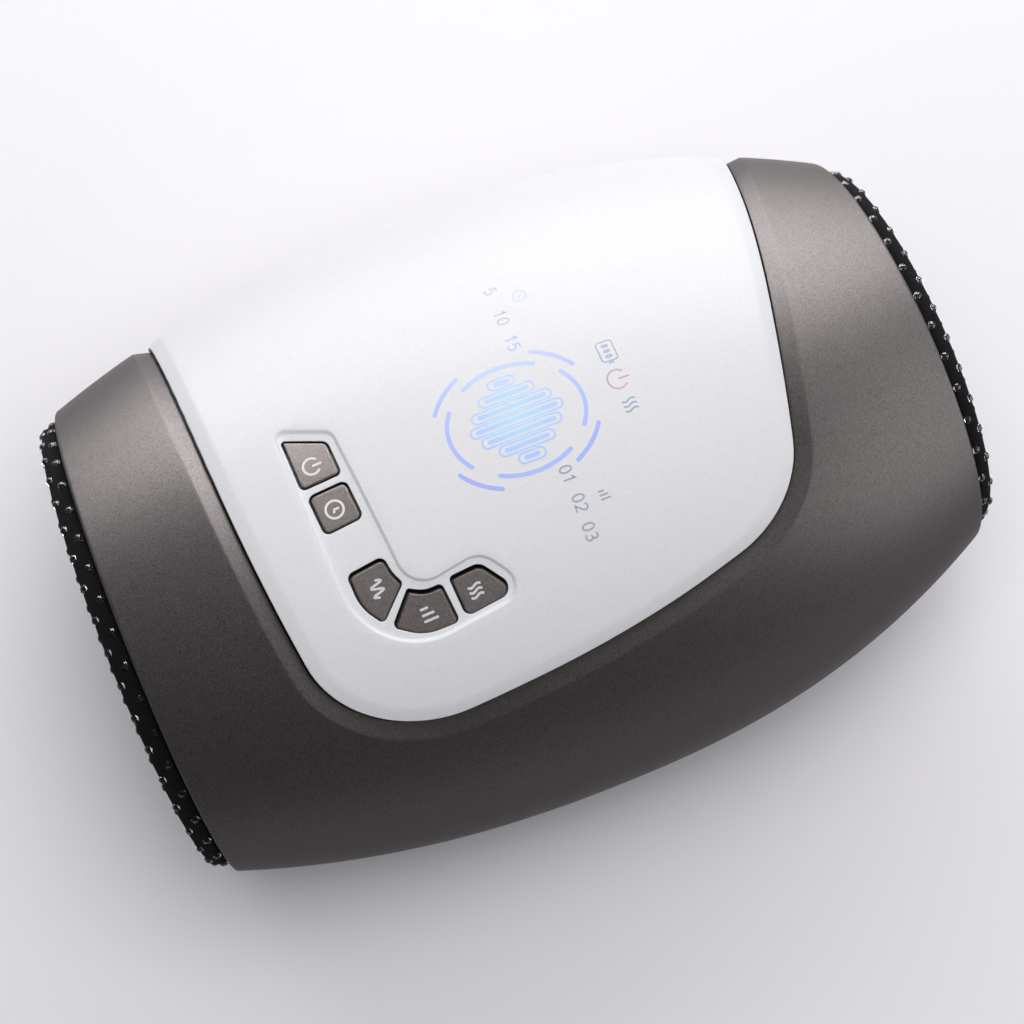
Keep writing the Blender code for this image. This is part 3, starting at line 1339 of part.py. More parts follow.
def lower_hose(material):
    """Short hose from the manifold's port up to the lower bag's spout."""
    low = BAY_FLOOR + VALVE_HEIGHT + PORT_RISE + SEAT
    high = FRAME_FLOOR - SEAT - SEAT
    body = moved(rod(BAG_SPOUT, low, high, 12), (DRIVE_X, manifold_middle(), 0))
    return piece("lower_hose", body, material)


def build():
    clear_scene()
    casing = finish("casing_grey", (0.20, 0.18, 0.17), 0.38, 0.45)
    pearl = finish("panel_pearl", (0.80, 0.80, 0.83), 0.32, 0.15)
    key_grey = finish("key_grey", (0.22, 0.20, 0.19), 0.45, 0.30)
    silicone = finish("mat_silicone", (0.55, 0.57, 0.58), 0.50)
    board_green = finish("board_green", (0.02, 0.16, 0.08), 0.40)
    white = finish("white_moulding", (0.85, 0.85, 0.83), 0.45)
    black = finish("black_moulding", (0.03, 0.03, 0.03), 0.50)
    steel = finish("steel", (0.55, 0.55, 0.56), 0.30, 1.0)
    cell_wrap = finish("cell_wrap", (0.02, 0.12, 0.45), 0.30)
    bag_film = finish("bag_film", (0.30, 0.32, 0.34), 0.35)
    film = finish("heater_amber", (0.45, 0.20, 0.03), 0.30)
    cloth = finish("cuff_cloth", (0.015, 0.015, 0.017), 0.90)
    hose = finish("hose_silicone", (0.70, 0.72, 0.72), 0.40)
    lead = finish("lead_red", (0.45, 0.02, 0.02), 0.45)
    rubber = finish("foot_rubber", (0.04, 0.04, 0.04), 0.85)

    top_cover(casing)
    control_panel(pearl)
    base_shell(casing)
    for name, hole in key_outlines().items():
        key_cap(name, hole, key_grey)
    key_mat(silicone)
    control_board(board_green)
    for number, place in enumerate(board_screw_places(), 1):
        screw(f"board_screw_{number}", place, BOARD_SCREW_HEAD, BOARD_SCREW, BOARD_TOP + SEAT,
              BOARD_TOP - BOARD_THICK - BOARD_SCREW_LENGTH + SEAM, False, steel)
    light_box(white)
    buzzer(black)

    cuff_ring("wide_cuff_ring", wide_mouth, -1, black)
    cuff_ring("narrow_cuff_ring", narrow_mouth, 1, black)
    cuff("wide_cuff", wide_mouth, -1, cloth)
    cuff("narrow_cuff", narrow_mouth, 1, cloth)
    sleeve(cloth)
    upper_frame(white)
    heater_film(film)
    roof_bag("palm_airbag", -BAG_REACH, BAG_DIVIDE - SEAT, -BAG_REACH + SPOUT_INSET, bag_film)
    roof_bag("finger_airbag", BAG_DIVIDE + SEAT, BAG_REACH, BAG_REACH - SPOUT_INSET, bag_film)
    lower_frame(white)
    lower_airbag(bag_film)
    massage_plate(black)

    pump_motor(steel)
    pump_rotor(steel)
    pump_head(black)
    air_manifold(white)
    for number, place in enumerate(valve_places(), 1):
        valve_body(f"valve_body_{number}", place, black)
        valve_plunger(f"valve_plunger_{number}", place, steel)
    for number, x in enumerate(cell_places(), 1):
        battery_cell(f"battery_cell_{number}", x, cell_wrap)
    battery_tray(black)
    charge_port(steel)
    charge_board(board_green)
    palm_hose(hose)
    finger_hose(hose)
    lower_hose(hose)
    battery_lead(lead)
    motor_lead(lead)

    for number, place in enumerate(foot_places(), 1):
        foot(f"foot_{number}", place, rubber)
    for number, place in enumerate(screw_places(), 1):
        top = SCREW_SEAT - SEAT
        screw(f"cover_screw_{number}", place, SCREW_HEAD, SCREW_SHAFT, top, SCREW_TIP, True, steel)


build()
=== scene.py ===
"""Looks of the hand compression massager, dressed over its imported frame. Metres, +Z up."""

import math

import bmesh
import bpy
import numpy as np
from mathutils import Matrix, Vector
from mathutils.geometry import delaunay_2d_cdt


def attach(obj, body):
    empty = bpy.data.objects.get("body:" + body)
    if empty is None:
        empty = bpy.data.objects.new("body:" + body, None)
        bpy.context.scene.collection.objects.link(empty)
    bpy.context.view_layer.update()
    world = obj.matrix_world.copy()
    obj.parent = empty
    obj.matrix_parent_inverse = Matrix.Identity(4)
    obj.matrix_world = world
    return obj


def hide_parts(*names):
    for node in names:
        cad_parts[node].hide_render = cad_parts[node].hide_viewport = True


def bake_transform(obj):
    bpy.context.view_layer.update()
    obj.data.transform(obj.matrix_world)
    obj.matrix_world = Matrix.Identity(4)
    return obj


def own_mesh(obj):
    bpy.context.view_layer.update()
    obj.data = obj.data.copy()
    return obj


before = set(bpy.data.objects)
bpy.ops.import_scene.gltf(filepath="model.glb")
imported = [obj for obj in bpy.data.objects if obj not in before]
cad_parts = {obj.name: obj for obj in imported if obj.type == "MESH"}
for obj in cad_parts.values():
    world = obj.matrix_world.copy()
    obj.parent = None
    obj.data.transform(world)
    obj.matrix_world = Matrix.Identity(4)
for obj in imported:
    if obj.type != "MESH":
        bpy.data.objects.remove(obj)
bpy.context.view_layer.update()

# Camera, straight above the massager but for a lean towards its right side and its wide mouth.
# Its turn lays the massager slantwise across the picture, wide mouth to the left.
CAMERA_TARGET = Vector((0, 0.00125, 0.050))
CAMERA_DISTANCE = 0.592
CAMERA_LEAN_X = math.radians(15.97)
CAMERA_LEAN_Y = math.radians(8.09)
CAMERA_TURN = math.radians(21.21)
SENSOR_WIDTH = 36
LENS = 81.4
SHIFT_X = -0.0142
SHIFT_Y = -0.0268


def placed(name, data):
    """A new object in the scene."""
    made = bpy.data.objects.new(name, data)
    bpy.context.scene.collection.objects.link(made)
    return made


back = Vector((math.tan(CAMERA_LEAN_X), -math.tan(CAMERA_LEAN_Y), 1)).normalized()
level_right = Vector((0, 1, 0)).cross(back).normalized()
level_up = back.cross(level_right)
camera_right = level_up * math.cos(CAMERA_TURN) + level_right * math.sin(CAMERA_TURN)
facing = Matrix((camera_right, back.cross(camera_right), back)).transposed().to_4x4()
camera = placed("camera", bpy.data.cameras.new("camera"))
camera.matrix_world = Matrix.Translation(CAMERA_TARGET + back * CAMERA_DISTANCE) @ facing
camera.data.sensor_width = SENSOR_WIDTH
camera.data.lens = LENS
camera.data.shift_x = SHIFT_X
camera.data.shift_y = SHIFT_Y
camera.data.clip_start = CAMERA_DISTANCE / 100
bpy.context.scene.camera = camera
bpy.context.scene.view_settings.view_transform = "Standard"


# Studio: a white table, one large soft box low beyond the massager's left side, and a weak fill above.
# The box is stronger in reflections than on the table, and two weaker ones, one lower and one beyond the
# narrow end, show only in reflections. The room is pale and slightly violet on the left.
FLOOR_HALF = 6.0
FLOOR_COLOUR = (0.90, 0.885, 0.925)
FLOOR_ROUGHNESS = 0.7
DIM_COLOUR = (0.12, 0.117, 0.124, 1)
PALE_COLOUR = (0.55, 0.54, 0.565, 1)
PALE_SIDE = (-0.70, 0.30, -0.65)
SOFT_BOX_PLACE = Vector((-0.90, 0.32, 0.70))
SOFT_BOX_WIDE = 2.2
SOFT_BOX_HIGH = 0.8
SHEEN_BEHIND = 1.03

# Name, place, width, height and power of each light, and what it leaves out
lights = (
    ("soft_box", SOFT_BOX_PLACE, SOFT_BOX_WIDE, SOFT_BOX_HIGH, 6.7, None),
    ("sheen", SOFT_BOX_PLACE * SHEEN_BEHIND, SOFT_BOX_WIDE, SOFT_BOX_HIGH, 62, "visible_diffuse"),
    ("low_sheen", Vector((-1.10, 0.30, 0.19)), SOFT_BOX_WIDE, 0.3, 13, "visible_diffuse"),
    ("end_sheen", Vector((0.42, 1.00, 0.42)), 0.9, 0.9, 10, "visible_diffuse"),
    ("fill", Vector((0.08, 0.10, 1.30)), 1.2, 1.2, 11.7, "visible_glossy"),
)


def give(tree, socket, value):
    """Links an output to a socket, or sets the socket to a value; a colour is red, green and blue."""
    if isinstance(value, bpy.types.NodeSocket):
        tree.links.new(value, socket)
    else:
        socket.default_value = (*value, 1) if socket.type == "RGBA" else value


def add(tree, kind, inputs=(), **settings):
    """A shader node with its settings; each input is a value, or an output to link it to."""
    node = tree.nodes.new(kind)
    for setting, value in settings.items():
        setattr(node, setting, value)
    for socket, value in dict(inputs).items():
        give(tree, node.inputs[socket], value)
    return node


def feed(made, height=None, depth=0.0, **sockets):
    """Gives values or outputs to a material's Principled shader; a height tilts its normal, over a depth."""
    tree = made.node_tree
    if height is not None:
        bump = {"Height": height, "Distance": depth, "Strength": 1.0}
        sockets["Normal"] = add(tree, "ShaderNodeBump", bump).outputs["Normal"]
    for socket, value in sockets.items():
        give(tree, tree.nodes["Principled BSDF"].inputs[socket.replace("_", " ")], value)
    return made


def finish(name, **sockets):
    """A new material; each named socket of its Principled shader is set to the value given."""
    made = bpy.data.materials.new(name)
    made.use_nodes = True
    return feed(made, **sockets)


corners = [(-FLOOR_HALF, -FLOOR_HALF, 0), (FLOOR_HALF, -FLOOR_HALF, 0)]
corners += [(FLOOR_HALF, FLOOR_HALF, 0), (-FLOOR_HALF, FLOOR_HALF, 0)]
floor_mesh = bpy.data.meshes.new("floor")
floor_mesh.from_pydata(corners, [], [(0, 1, 2, 3)])
floor_mesh.materials.append(finish("table_white", Base_Color=FLOOR_COLOUR, Roughness=FLOOR_ROUGHNESS))
placed("floor", floor_mesh)

for name, place, wide, high, power, left_out in lights:
    light = placed(name, bpy.data.lights.new(name, "AREA"))
    light.data.shape = "RECTANGLE"
    light.data.size, light.data.size_y, light.data.energy = wide, high, power
    facing = (place - CAMERA_TARGET).to_track_quat("Z", "Y").to_matrix().to_4x4()
    light.matrix_world = Matrix.Translation(place) @ facing
    if left_out:
        setattr(light, left_out, False)

room = bpy.data.worlds.new("room")
room.use_nodes = True
bpy.context.scene.world = room
tree = room.node_tree
towards = {0: add(tree, "ShaderNodeTexCoord").outputs["Generated"], 1: PALE_SIDE}
towards = add(tree, "ShaderNodeVectorMath", towards, operation="DOT_PRODUCT").outputs["Value"]
ramp = add(tree, "ShaderNodeValToRGB", {"Fac": towards})
ramp.color_ramp.elements[0].color = DIM_COLOUR
ramp.color_ramp.elements[1].color = PALE_COLOUR
give(tree, tree.nodes["Background"].inputs["Color"], ramp.outputs["Color"])


# Upper casing half: one ABS moulding, sprayed with a grey-brown metallic satin paint.
# It is a shell round the panel's window, with a V groove beside the panel and a ledge that carries it.
LENGTH = 0.2069
HALF_WIDTH = 0.0790
CROWN = 0.1060
WIDE_REACH = LENGTH * 0.495
NARROW_REACH = LENGTH - WIDE_REACH
WIDEST_AT = LENGTH * -0.0048
LEVEL = CROWN * 0.4236
LEAN_FROM = CROWN * 0.472
STANDING = 0.0030
CHINE = 0.0030
WALL = 0.0026
SPLIT = CROWN * 0.2264
SEAM = 0.0003
SEAT = 0.0003
PANEL_THICK = CROWN * 0.0245
PANEL_BEVEL = 0.0034
PANEL_EDGE_DROP = 0.0009
PANEL_GAP = 0.0004
GROOVE_WIDTH = 0.0046
GROOVE_DEPTH = 0.0020
LEDGE_WIDTH = 0.0038
LEDGE_THICK = 0.0016
RIDGE_ROUND = 0.0003
FOOT_ROUND = 0.0003
LIP_ROUND = 0.0007
SIDE_STEPS = 70
MOUTH_STEPS = 90
FIELD_STEPS = 34

# Rings across the groove's slope, close together at its ridge, by their distance from the panel's edge
SLOPE_RINGS = [*np.linspace(0.0013, 0.0039, 7), *np.linspace(0.0041, 0.0056, 11), 0.0062, 0.0070]
FIELD_FROM = 0.0080


def falling(along, middle, wide_share, narrow_share, power):
    """A size that falls from its middle value to a share of it at each mouth, by a power of the way there."""
    to_wide = np.clip((WIDEST_AT - along) / (WIDEST_AT + WIDE_REACH), 0, None)
    to_narrow = np.clip((along - WIDEST_AT) / (NARROW_REACH - WIDEST_AT), 0, None)
    return middle * (1 - (1 - wide_share) * to_wide**power - (1 - narrow_share) * to_narrow**power)


def half_width(along):
    return falling(along, HALF_WIDTH, 0.796, 0.691, 2.28)


def rise(along):
    return falling(along, CROWN, 0.878, 0.7934, 2) - LEVEL


def belly(along):
    return falling(along, CROWN * 0.5283, 0.6606, 0.5716, 2)


def skin(turn, along, depth=0.0):
    """The casing: half ellipses above and below its level, turned from the crown towards +X, flat below."""
    turn, along, depth = np.broadcast_arrays(turn, along, depth)
    reach = np.where(np.cos(turn) > 0, rise(along), belly(along)) - depth
    height = LEVEL + reach * np.cos(turn)
    floor_level = STANDING + depth
    over = np.clip(height - floor_level, -CHINE, CHINE)
    rounded_height = floor_level + (over + CHINE) ** 2 / (4 * CHINE)
    height = np.where(height - floor_level > CHINE, height, rounded_height)
    return np.stack([(half_width(along) - depth) * np.sin(turn), along, height], axis=-1)


def over_plan(outline, depth):
    """Points of an outline in plan raised to the casing's upper surface: its ellipse, solved for z."""
    x, y = outline.T
    across = np.clip(x / (half_width(y) - depth), -1, 1)
    return np.column_stack([outline, LEVEL + (rise(y) - depth) * np.sqrt(1 - across**2)])


def mouth(turn, reach, lean, depth=0.0):
    """How far along a mouth's leaning edge lies: reach plus lean times the height above a fixed level."""
    along = np.full(np.shape(turn), reach)
    for _ in range(3):
        along = reach + lean * (skin(turn, along, depth)[..., 2] - LEAN_FROM)
    return along


def wide_mouth(turn, depth=0.0):
    return mouth(turn, -WIDE_REACH, -0.074, depth)


def narrow_mouth(turn, depth=0.0):
    return mouth(turn, NARROW_REACH, -0.017, depth)


def border(depth, height, under=False):
    """(turn, along) round one casing half's edge: up one split line, over a mouth, back, over the other."""
    up = np.linspace(0, 1, SIDE_STEPS, endpoint=False)
    over = np.linspace(1, -1, MOUTH_STEPS, endpoint=False)
    sides = np.concatenate([np.ones(SIDE_STEPS), over, -np.ones(SIDE_STEPS), -over])
    places = np.concatenate([up, np.ones(MOUTH_STEPS), 1 - up, np.zeros(MOUTH_STEPS)])
    along = -WIDE_REACH + LENGTH * places
    for _ in range(4):
        limit = np.arccos(np.clip((height - LEVEL) / (belly(along) - depth), -1, 1))
        turn = math.pi + sides * (math.pi - limit) if under else sides * limit
        near, far = wide_mouth(turn, depth), narrow_mouth(turn, depth)
        along = near + (far - near) * places
    return turn, along


def rounded(corners, arc_points=6):
    """A closed outline from corners (x, y, radius), each an arc tangent to its two sides."""
    corners = np.asarray(corners, float)
    outline = []
    for i, corner in enumerate(corners):
        here = corner[:2]
        behind, ahead = corners[i - 1][:2] - here, corners[(i + 1) % len(corners)][:2] - here
        room = 0.49 * min(np.linalg.norm(behind), np.linalg.norm(ahead))
        behind, ahead = behind / np.linalg.norm(behind), ahead / np.linalg.norm(ahead)
        half = 0.5 * math.acos(float(np.clip(behind @ ahead, -1, 1)))
        tangent = min(corner[2] / math.tan(half), room)
        radius = tangent * math.tan(half)
        middle = here + (behind + ahead) / np.linalg.norm(behind + ahead) * (radius / math.sin(half))
        x, y = here + behind * tangent - middle
        side = 1 if x * (ahead - behind)[1] - y * (ahead - behind)[0] > 0 else -1
        angle = side * (math.pi - half - half) * np.linspace(0, 1, arc_points)
        cosine, sine = np.cos(angle), np.sin(angle)
        outline.append(middle + np.column_stack([x * cosine - y * sine, x * sine + y * cosine]))
    return np.concatenate(outline)


# Corners of the panel: turn from the crown in degrees, then place and rounding as shares of half the length
panel_corners = (
    (-98, -0.739, 0.23), (6.6, -0.698, 5.8), (49.2, -0.630, 0.29), (42.9, 0.060, 3.4), (34.3, 0.519, 0.29),
    (-24.7, 0.707, 5.0), (-98, 0.843, 0.23),
)
panel_middle = np.array([-0.47 * HALF_WIDTH, 0.02 * WIDE_REACH])


def panel_outline():
    """(turn, along) of the panel's edge, met by a ray to each point of the cover's border."""
    half = LENGTH / 2
    line = [(math.radians(turn) * HALF_WIDTH, at * half, radius * half) for turn, at, radius in panel_corners]
    line = rounded(line, 60)
    share = np.linspace(0, 1, 12, endpoint=False)[None, :, None]
    dense = (line[:, None] + (np.roll(line, -1, axis=0) - line)[:, None] * share).reshape(-1, 2)
    turn, along = border(0, SPLIT + SEAM / 2)
    wanted = np.arctan2(along - panel_middle[1], turn * HALF_WIDTH - panel_middle[0])
    away = dense - panel_middle
    angles = np.arctan2(away[:, 1], away[:, 0])
    order = np.argsort(angles)
    radius = np.interp(wanted, angles[order], np.hypot(*away.T)[order], period=math.tau)
    return (panel_middle[0] + radius * np.cos(wanted)) / HALF_WIDTH, panel_middle[1] + radius * np.sin(wanted)


def shifted(turn, along, distance):
    """The outline moved outwards by a distance, measured on the casing's surface through its tangents."""
    nudge = 1e-5
    by_turn = (skin(turn + nudge, along) - skin(turn - nudge, along)) / (2 * nudge)
    by_along = (skin(turn, along + nudge) - skin(turn, along - nudge)) / (2 * nudge)
    d_turn = np.roll(turn, -1) - np.roll(turn, 1)
    d_along = np.roll(along, -1) - np.roll(along, 1)
    tangent = by_turn * d_turn[:, None] + by_along * d_along[:, None]
    outward = np.cross(tangent, np.cross(by_turn, by_along))
    outward /= np.linalg.norm(outward, axis=1)[:, None]
    a, b, c = ((p * q).sum(1) for p, q in ((by_turn, by_turn), (by_turn, by_along), (by_along, by_along)))
    u, v = (by_turn * outward).sum(1), (by_along * outward).sum(1)
    change_turn = (c * u - b * v) / (a * c - b * b)
    change_along = (a * v - b * u) / (a * c - b * b)
    away = (turn * HALF_WIDTH - panel_middle[0]) * change_turn * HALF_WIDTH
    away = away + (along - panel_middle[1]) * change_along
    sign = 1 if away.sum() > 0 else -1
    return turn + sign * change_turn * distance, along + sign * change_along * distance


def between(inner, outer, share):
    return tuple(a + (b - a) * share for a, b in zip(inner, outer))


def quarter(radius, steps=5):
    """Pairs round a quarter of a circle: the first grows to the radius, the second falls from it."""
    angle = np.linspace(0, math.pi / 2, steps)
    return radius * np.column_stack([1 - np.cos(angle), 1 - np.sin(angle)])


def grid_faces(rows, columns, loop_rows=False, loop_columns=True):
    """Quads of a grid of points; its rows, its columns or both may close into a loop."""
    i = np.arange(rows if loop_rows else rows - 1)[:, None]
    j = np.arange(columns if loop_columns else columns - 1)[None, :]
    below, beside = (i + 1) % rows, (j + 1) % columns
    corners = i * columns + j, i * columns + beside, below * columns + beside, below * columns + j
    return np.stack(np.broadcast_arrays(*corners), axis=-1).reshape(-1, 4)


def lathe(rings):
    """(points, faces) of rings of equal length joined in turn, with a face over each end ring."""
    rings = np.asarray(rings, float)
    rows, columns = rings.shape[:2]
    ends = np.arange(columns)[None, ::-1], np.arange((rows - 1) * columns, rows * columns)[None, :]
    return rings.reshape(-1, 3), [grid_faces(rows, columns), *ends]


def torus(rings):
    """(points, faces) of rings joined in turn, and the last one to the first."""
    rings = np.asarray(rings, float)
    return rings.reshape(-1, 3), [grid_faces(*rings.shape[:2], loop_rows=True)]


def six_times_volume(points, groups):
    """The sum over a fan of triangles in each face of a . (b x c), which is positive where faces look out."""
    total = 0.0
    for group in groups:
        for i in range(1, group.shape[1] - 1):
            a, b, c = points[group[:, 0]], points[group[:, i]], points[group[:, i + 1]]
            total += np.einsum("ij,ij->", a, np.cross(b, c))
    return total


def smooth(made, sharp=32):
    """Shades a piece smooth but for edges sharper than an angle in degrees."""
    made.data.shade_smooth()
    made.data.set_sharp_from_angle(angle=math.radians(sharp))


def piece(name, shells, look=None):
    """A smooth-shaded mesh from closed shells, with every face turned outwards."""
    all_points, all_faces, start = [], [], 0
    for points, groups in shells if isinstance(shells, list) else [shells]:
        way = 1 if six_times_volume(points, groups) > 0 else -1
        for group in groups:
            all_faces += (group[:, ::way] + start).tolist()
        all_points.append(points)
        start += len(points)
    mesh = bpy.data.meshes.new(name)
    mesh.from_pydata(np.concatenate(all_points).tolist(), [], all_faces)
    mesh.update()
    made = placed(name, mesh)
    if look:
        mesh.materials.append(look)
    smooth(made)
    return made


def dress(made, node=None, body="casing"):
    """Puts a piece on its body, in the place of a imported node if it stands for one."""
    if node:
        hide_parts(node)
    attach(made, body)


def combine(target, operation, shells, trim=None):
    """Adds shells to a piece or cuts them out of it; with trim, only what lies within that shell."""
    tool = piece(f"{target.name}_tool", shells)
    if trim:
        combine(tool, "INTERSECT", trim)
    step = target.modifiers.new(operation, "BOOLEAN")
    step.operation, step.object, step.solver = operation, tool, "EXACT"
    seen = target.evaluated_get(bpy.context.evaluated_depsgraph_get())
    before, target.data = target.data, bpy.data.meshes.new_from_object(seen)
    target.modifiers.clear()
    bpy.data.objects.remove(tool)
    bpy.data.meshes.remove(before)


def rod(radius, low, high, place, sides=32):
    """(points, faces) of an upright cylinder over a place (x, y)."""
    angle = np.linspace(0, math.tau, sides, endpoint=False)
    ring = np.column_stack([place[0] + radius * np.cos(angle), place[1] + radius * np.sin(angle), 0 * angle])
    return lathe([ring + (0, 0, low), ring + (0, 0, high)])


def block(low, high):
    """(points, faces) of a box between two corners."""
    ring = np.array([(low[0], low[1], 0), (high[0], low[1], 0), (high[0], high[1], 0), (low[0], high[1], 0)])
    return lathe([ring + (0, 0, low[2]), ring + (0, 0, high[2])])


def maths(tree, operation, *values):
    return add(tree, "ShaderNodeMath", dict(enumerate(values)), operation=operation).outputs[0]


def shade(tree, share, dark, light):
    """A colour between two, by a share."""
    ends = {"Factor": share, "A": dark, "B": light}
    return add(tree, "ShaderNodeMix", ends, data_type="RGBA").outputs["Result"]


def on_object(tree):
    return add(tree, "ShaderNodeTexCoord").outputs["Object"]


def noise(tree, scale, detail=2.0):
    """Soft noise over the object, as a share."""
    inputs = {"Vector": on_object(tree), "Scale": scale, "Detail": detail}
    return add(tree, "ShaderNodeTexNoise", inputs).outputs["Fac"]


def effect(name, inputs, outputs):
    """A shader node group of float inputs {name: default} and named float outputs."""
    tree = bpy.data.node_groups.new(name, "ShaderNodeTree")
    for socket, value in inputs.items():
        made = tree.interface.new_socket(socket, in_out="INPUT", socket_type="NodeSocketFloat")
        made.default_value = value
    for socket in outputs:
        tree.interface.new_socket(socket, in_out="OUTPUT", socket_type="NodeSocketFloat")
    return tree, tree.nodes.new("NodeGroupInput").outputs, tree.nodes.new("NodeGroupOutput").inputs


def use(tree, group, inputs):
    return add(tree, "ShaderNodeGroup", inputs, node_tree=group).outputs


def flakes_group():
    """Metallic flakes: a random tone in each cell of a fine pattern, over soft uneven clouds."""
    tree, given, put = effect("flakes", {"Flake Size": 0.0003, "Cloud Size": 0.004}, ("Tone", "Clouds"))
    cells = {"Vector": on_object(tree), "Scale": maths(tree, "DIVIDE", 1.0, given["Flake Size"])}
    cells = add(tree, "ShaderNodeTexVoronoi", cells).outputs["Color"]
    give(tree, put["Tone"], add(tree, "ShaderNodeSeparateColor", {"Color": cells}).outputs["Red"])
    give(tree, put["Clouds"], noise(tree, maths(tree, "DIVIDE", 1.0, given["Cloud Size"]), 3.0))
    return tree


flakes = flakes_group()
# Near-black of marked faces: a painted shade for the dark gaps round the panel and its key holes
GAP_SHADE_BLACK = (0.008, 0.008, 0.008)
CLOUD_SHARE = 0.15


def paint_gap_shade(made, gap_shade):
    """Marks faces to be painted near-black: a painted shade for the dark gaps round and under the panel."""
    marks = made.data.attributes.new("gap_shade", "FLOAT", "FACE")
    marks.data.foreach_set("value", np.asarray(gap_shade, np.float32))


def metallic_paint(name, dark, light, flake_size, bump, **sockets):
    """Satin paint: flakes vary the colour between dark and light and tilt the normal; marked faces are a
    painted shade.
    """
    made = finish(name, **sockets)
    tree = made.node_tree
    out = use(tree, flakes, {"Flake Size": flake_size})
    both = maths(tree, "MULTIPLY_ADD", out["Clouds"], CLOUD_SHARE, out["Tone"])
    share = add(tree, "ShaderNodeMapRange", {"Value": both, "From Max": 1 + CLOUD_SHARE}).outputs[0]
    gap_shade = add(tree, "ShaderNodeAttribute", attribute_name="gap_shade").outputs["Fac"]
    colour = shade(tree, gap_shade, shade(tree, share, dark, light), GAP_SHADE_BLACK)
    return feed(made, out["Tone"], bump, Base_Color=colour)


casing_paint = metallic_paint(
    "casing_paint", (0.055, 0.0490, 0.0485), (0.099, 0.0900, 0.0895), 0.00022, 0.000022, Roughness=0.42,
    Metallic=0.60, Coat_Weight=0.10, Coat_Roughness=0.42, Specular_IOR_Level=0.3,
    Specular_Tint=(0.4, 0.38, 0.38),
)


def bend(x, radius):
    """A line that is level before zero and rises by x after it, softened over a radius by a square root."""
    return (x + np.sqrt(x * x + radius * radius)) / 2


def lip(centre, length, height, under, steps):
    """Rings over a casing half's edge, rounded by a quarter of a circle, from its surface into its depth."""
    rings = []
    for depth, short in quarter(LIP_ROUND, 5)[steps:]:
        rings.append(skin(*between(centre, border(depth, height, under), 1 - short / length), depth))
    return rings


def cover_rings(edge):
    """Rings of the cover's section: ledge, groove wall, slope, ridge, field, lip, and back inside."""
    height = SPLIT + SEAM / 2
    slope = GROOVE_DEPTH / (GROOVE_WIDTH - PANEL_GAP)
    shelf = PANEL_THICK + SEAT
    lip_in, root = shifted(*edge, PANEL_GAP - LEDGE_WIDTH), shifted(*edge, GROOVE_WIDTH + GROOVE_DEPTH)
    foot = shifted(*edge, PANEL_GAP)
    rings = [skin(*lip_in, shelf + LEDGE_THICK), skin(*lip_in, shelf), skin(*foot, shelf)]
    rings.append(skin(*foot, GROOVE_DEPTH + FOOT_ROUND))
    for out, drop in quarter(FOOT_ROUND)[1:]:
        rings.append(skin(*shifted(*edge, PANEL_GAP + out), GROOVE_DEPTH + drop - slope * out))
    for away in SLOPE_RINGS:
        rings.append(skin(*shifted(*edge, away), slope * bend(GROOVE_WIDTH - away, RIDGE_ROUND)))
    start, end = shifted(*edge, FIELD_FROM), border(0, height)
    length = np.linalg.norm(skin(*end) - skin(*start), axis=1)
    for share in np.linspace(0, 1, FIELD_STEPS):
        eased = share * (1.5 - 0.5 * share) * (1 - LIP_ROUND / length)
        rings.append(skin(*between(start, end, eased)))
    rings += lip(start, length, height, False, 1)
    rings += [skin(*between(border(WALL, height), root, share), WALL) for share in np.linspace(0, 1, 12)]
    rings.append(skin(*foot, shelf + LEDGE_THICK))
    return rings


SCREW_SHAFT = 0.0012
SCREW_HEAD = 0.0025
SCREW_TIP = CROWN * 0.3019
SCREW_REACH = LENGTH * 0.2803
SCREW_ACROSS = 0.72
ARM_TOP = CROWN * 0.3396
OVERRUN = 0.0040

screw_places = [
    (side * float(half_width(y)) * SCREW_ACROSS, y)
    for y in (-SCREW_REACH, 0, SCREW_REACH) for side in (1, -1)
]


def cover_arm(x, y):
    """A block from the casing's wall inwards over a screw, on which the tunnel's roof stands."""
    wall = (half_width(y) - WALL / 2) * math.sqrt(1 - ((SPLIT - LEVEL) / (belly(y) - WALL / 2)) ** 2)
    half = SCREW_HEAD + WALL / 2
    inner = abs(x) - half
    low, high = (inner, wall) if x > 0 else (-wall, -inner)
    return block((low, y - half, SPLIT + SEAM / 2), (high, y + half, ARM_TOP))


panel_edge = panel_outline()
casing_top = piece("casing_top", torus(cover_rings(panel_edge)), casing_paint)
# The ledge under the panel's edge and the groove wall facing it are painted near-black: painted shade in the
# gap.
paint_gap_shade(casing_top, np.arange(len(casing_top.data.polygons)) < 3 * len(panel_edge[0]))
combine(casing_top, "UNION", [cover_arm(x, y) for x, y in screw_places])
pilots = [rod(SCREW_SHAFT + SEAT, SPLIT - OVERRUN, SCREW_TIP + SEAM, place, 16) for place in screw_places]
combine(casing_top, "DIFFERENCE", pilots)
dress(casing_top, "top_cover")


# Lower casing half: a second ABS moulding in the same paint, screwed to the upper one from below.
# It carries screw bosses, pillars under the tunnel's floor, pockets for the feet and the charging slot.
SCREW_SEAT = CROWN * 0.1792
PILLAR_RADIUS = 0.0026
PILLAR_X = HALF_WIDTH * 0.557
PILLAR_Y = LENGTH * 0.2417
FRAME_FLOOR = STANDING + WALL + SEAT + CROWN * (0.2075 + 0.0198)
FOOT_RADIUS = 0.0070
FOOT_X = HALF_WIDTH * 0.4304
FOOT_Y = LENGTH * 0.2223
FOOT_POCKET = 0.0012
PORT_Y = LENGTH * 0.145
PORT_Z = CROWN * 0.1415
PORT_WIDTH = 0.0090
PORT_HEIGHT = 0.0033
PORT_LENGTH = 0.0080
PORT_POST_RADIUS = 0.0016
PORT_POST_SHARES = (0.58, 0.88)
CHARGE_BOARD_LENGTH = 0.0140
BASE_STEPS = 30
BOWL_MIDDLE = 0.06


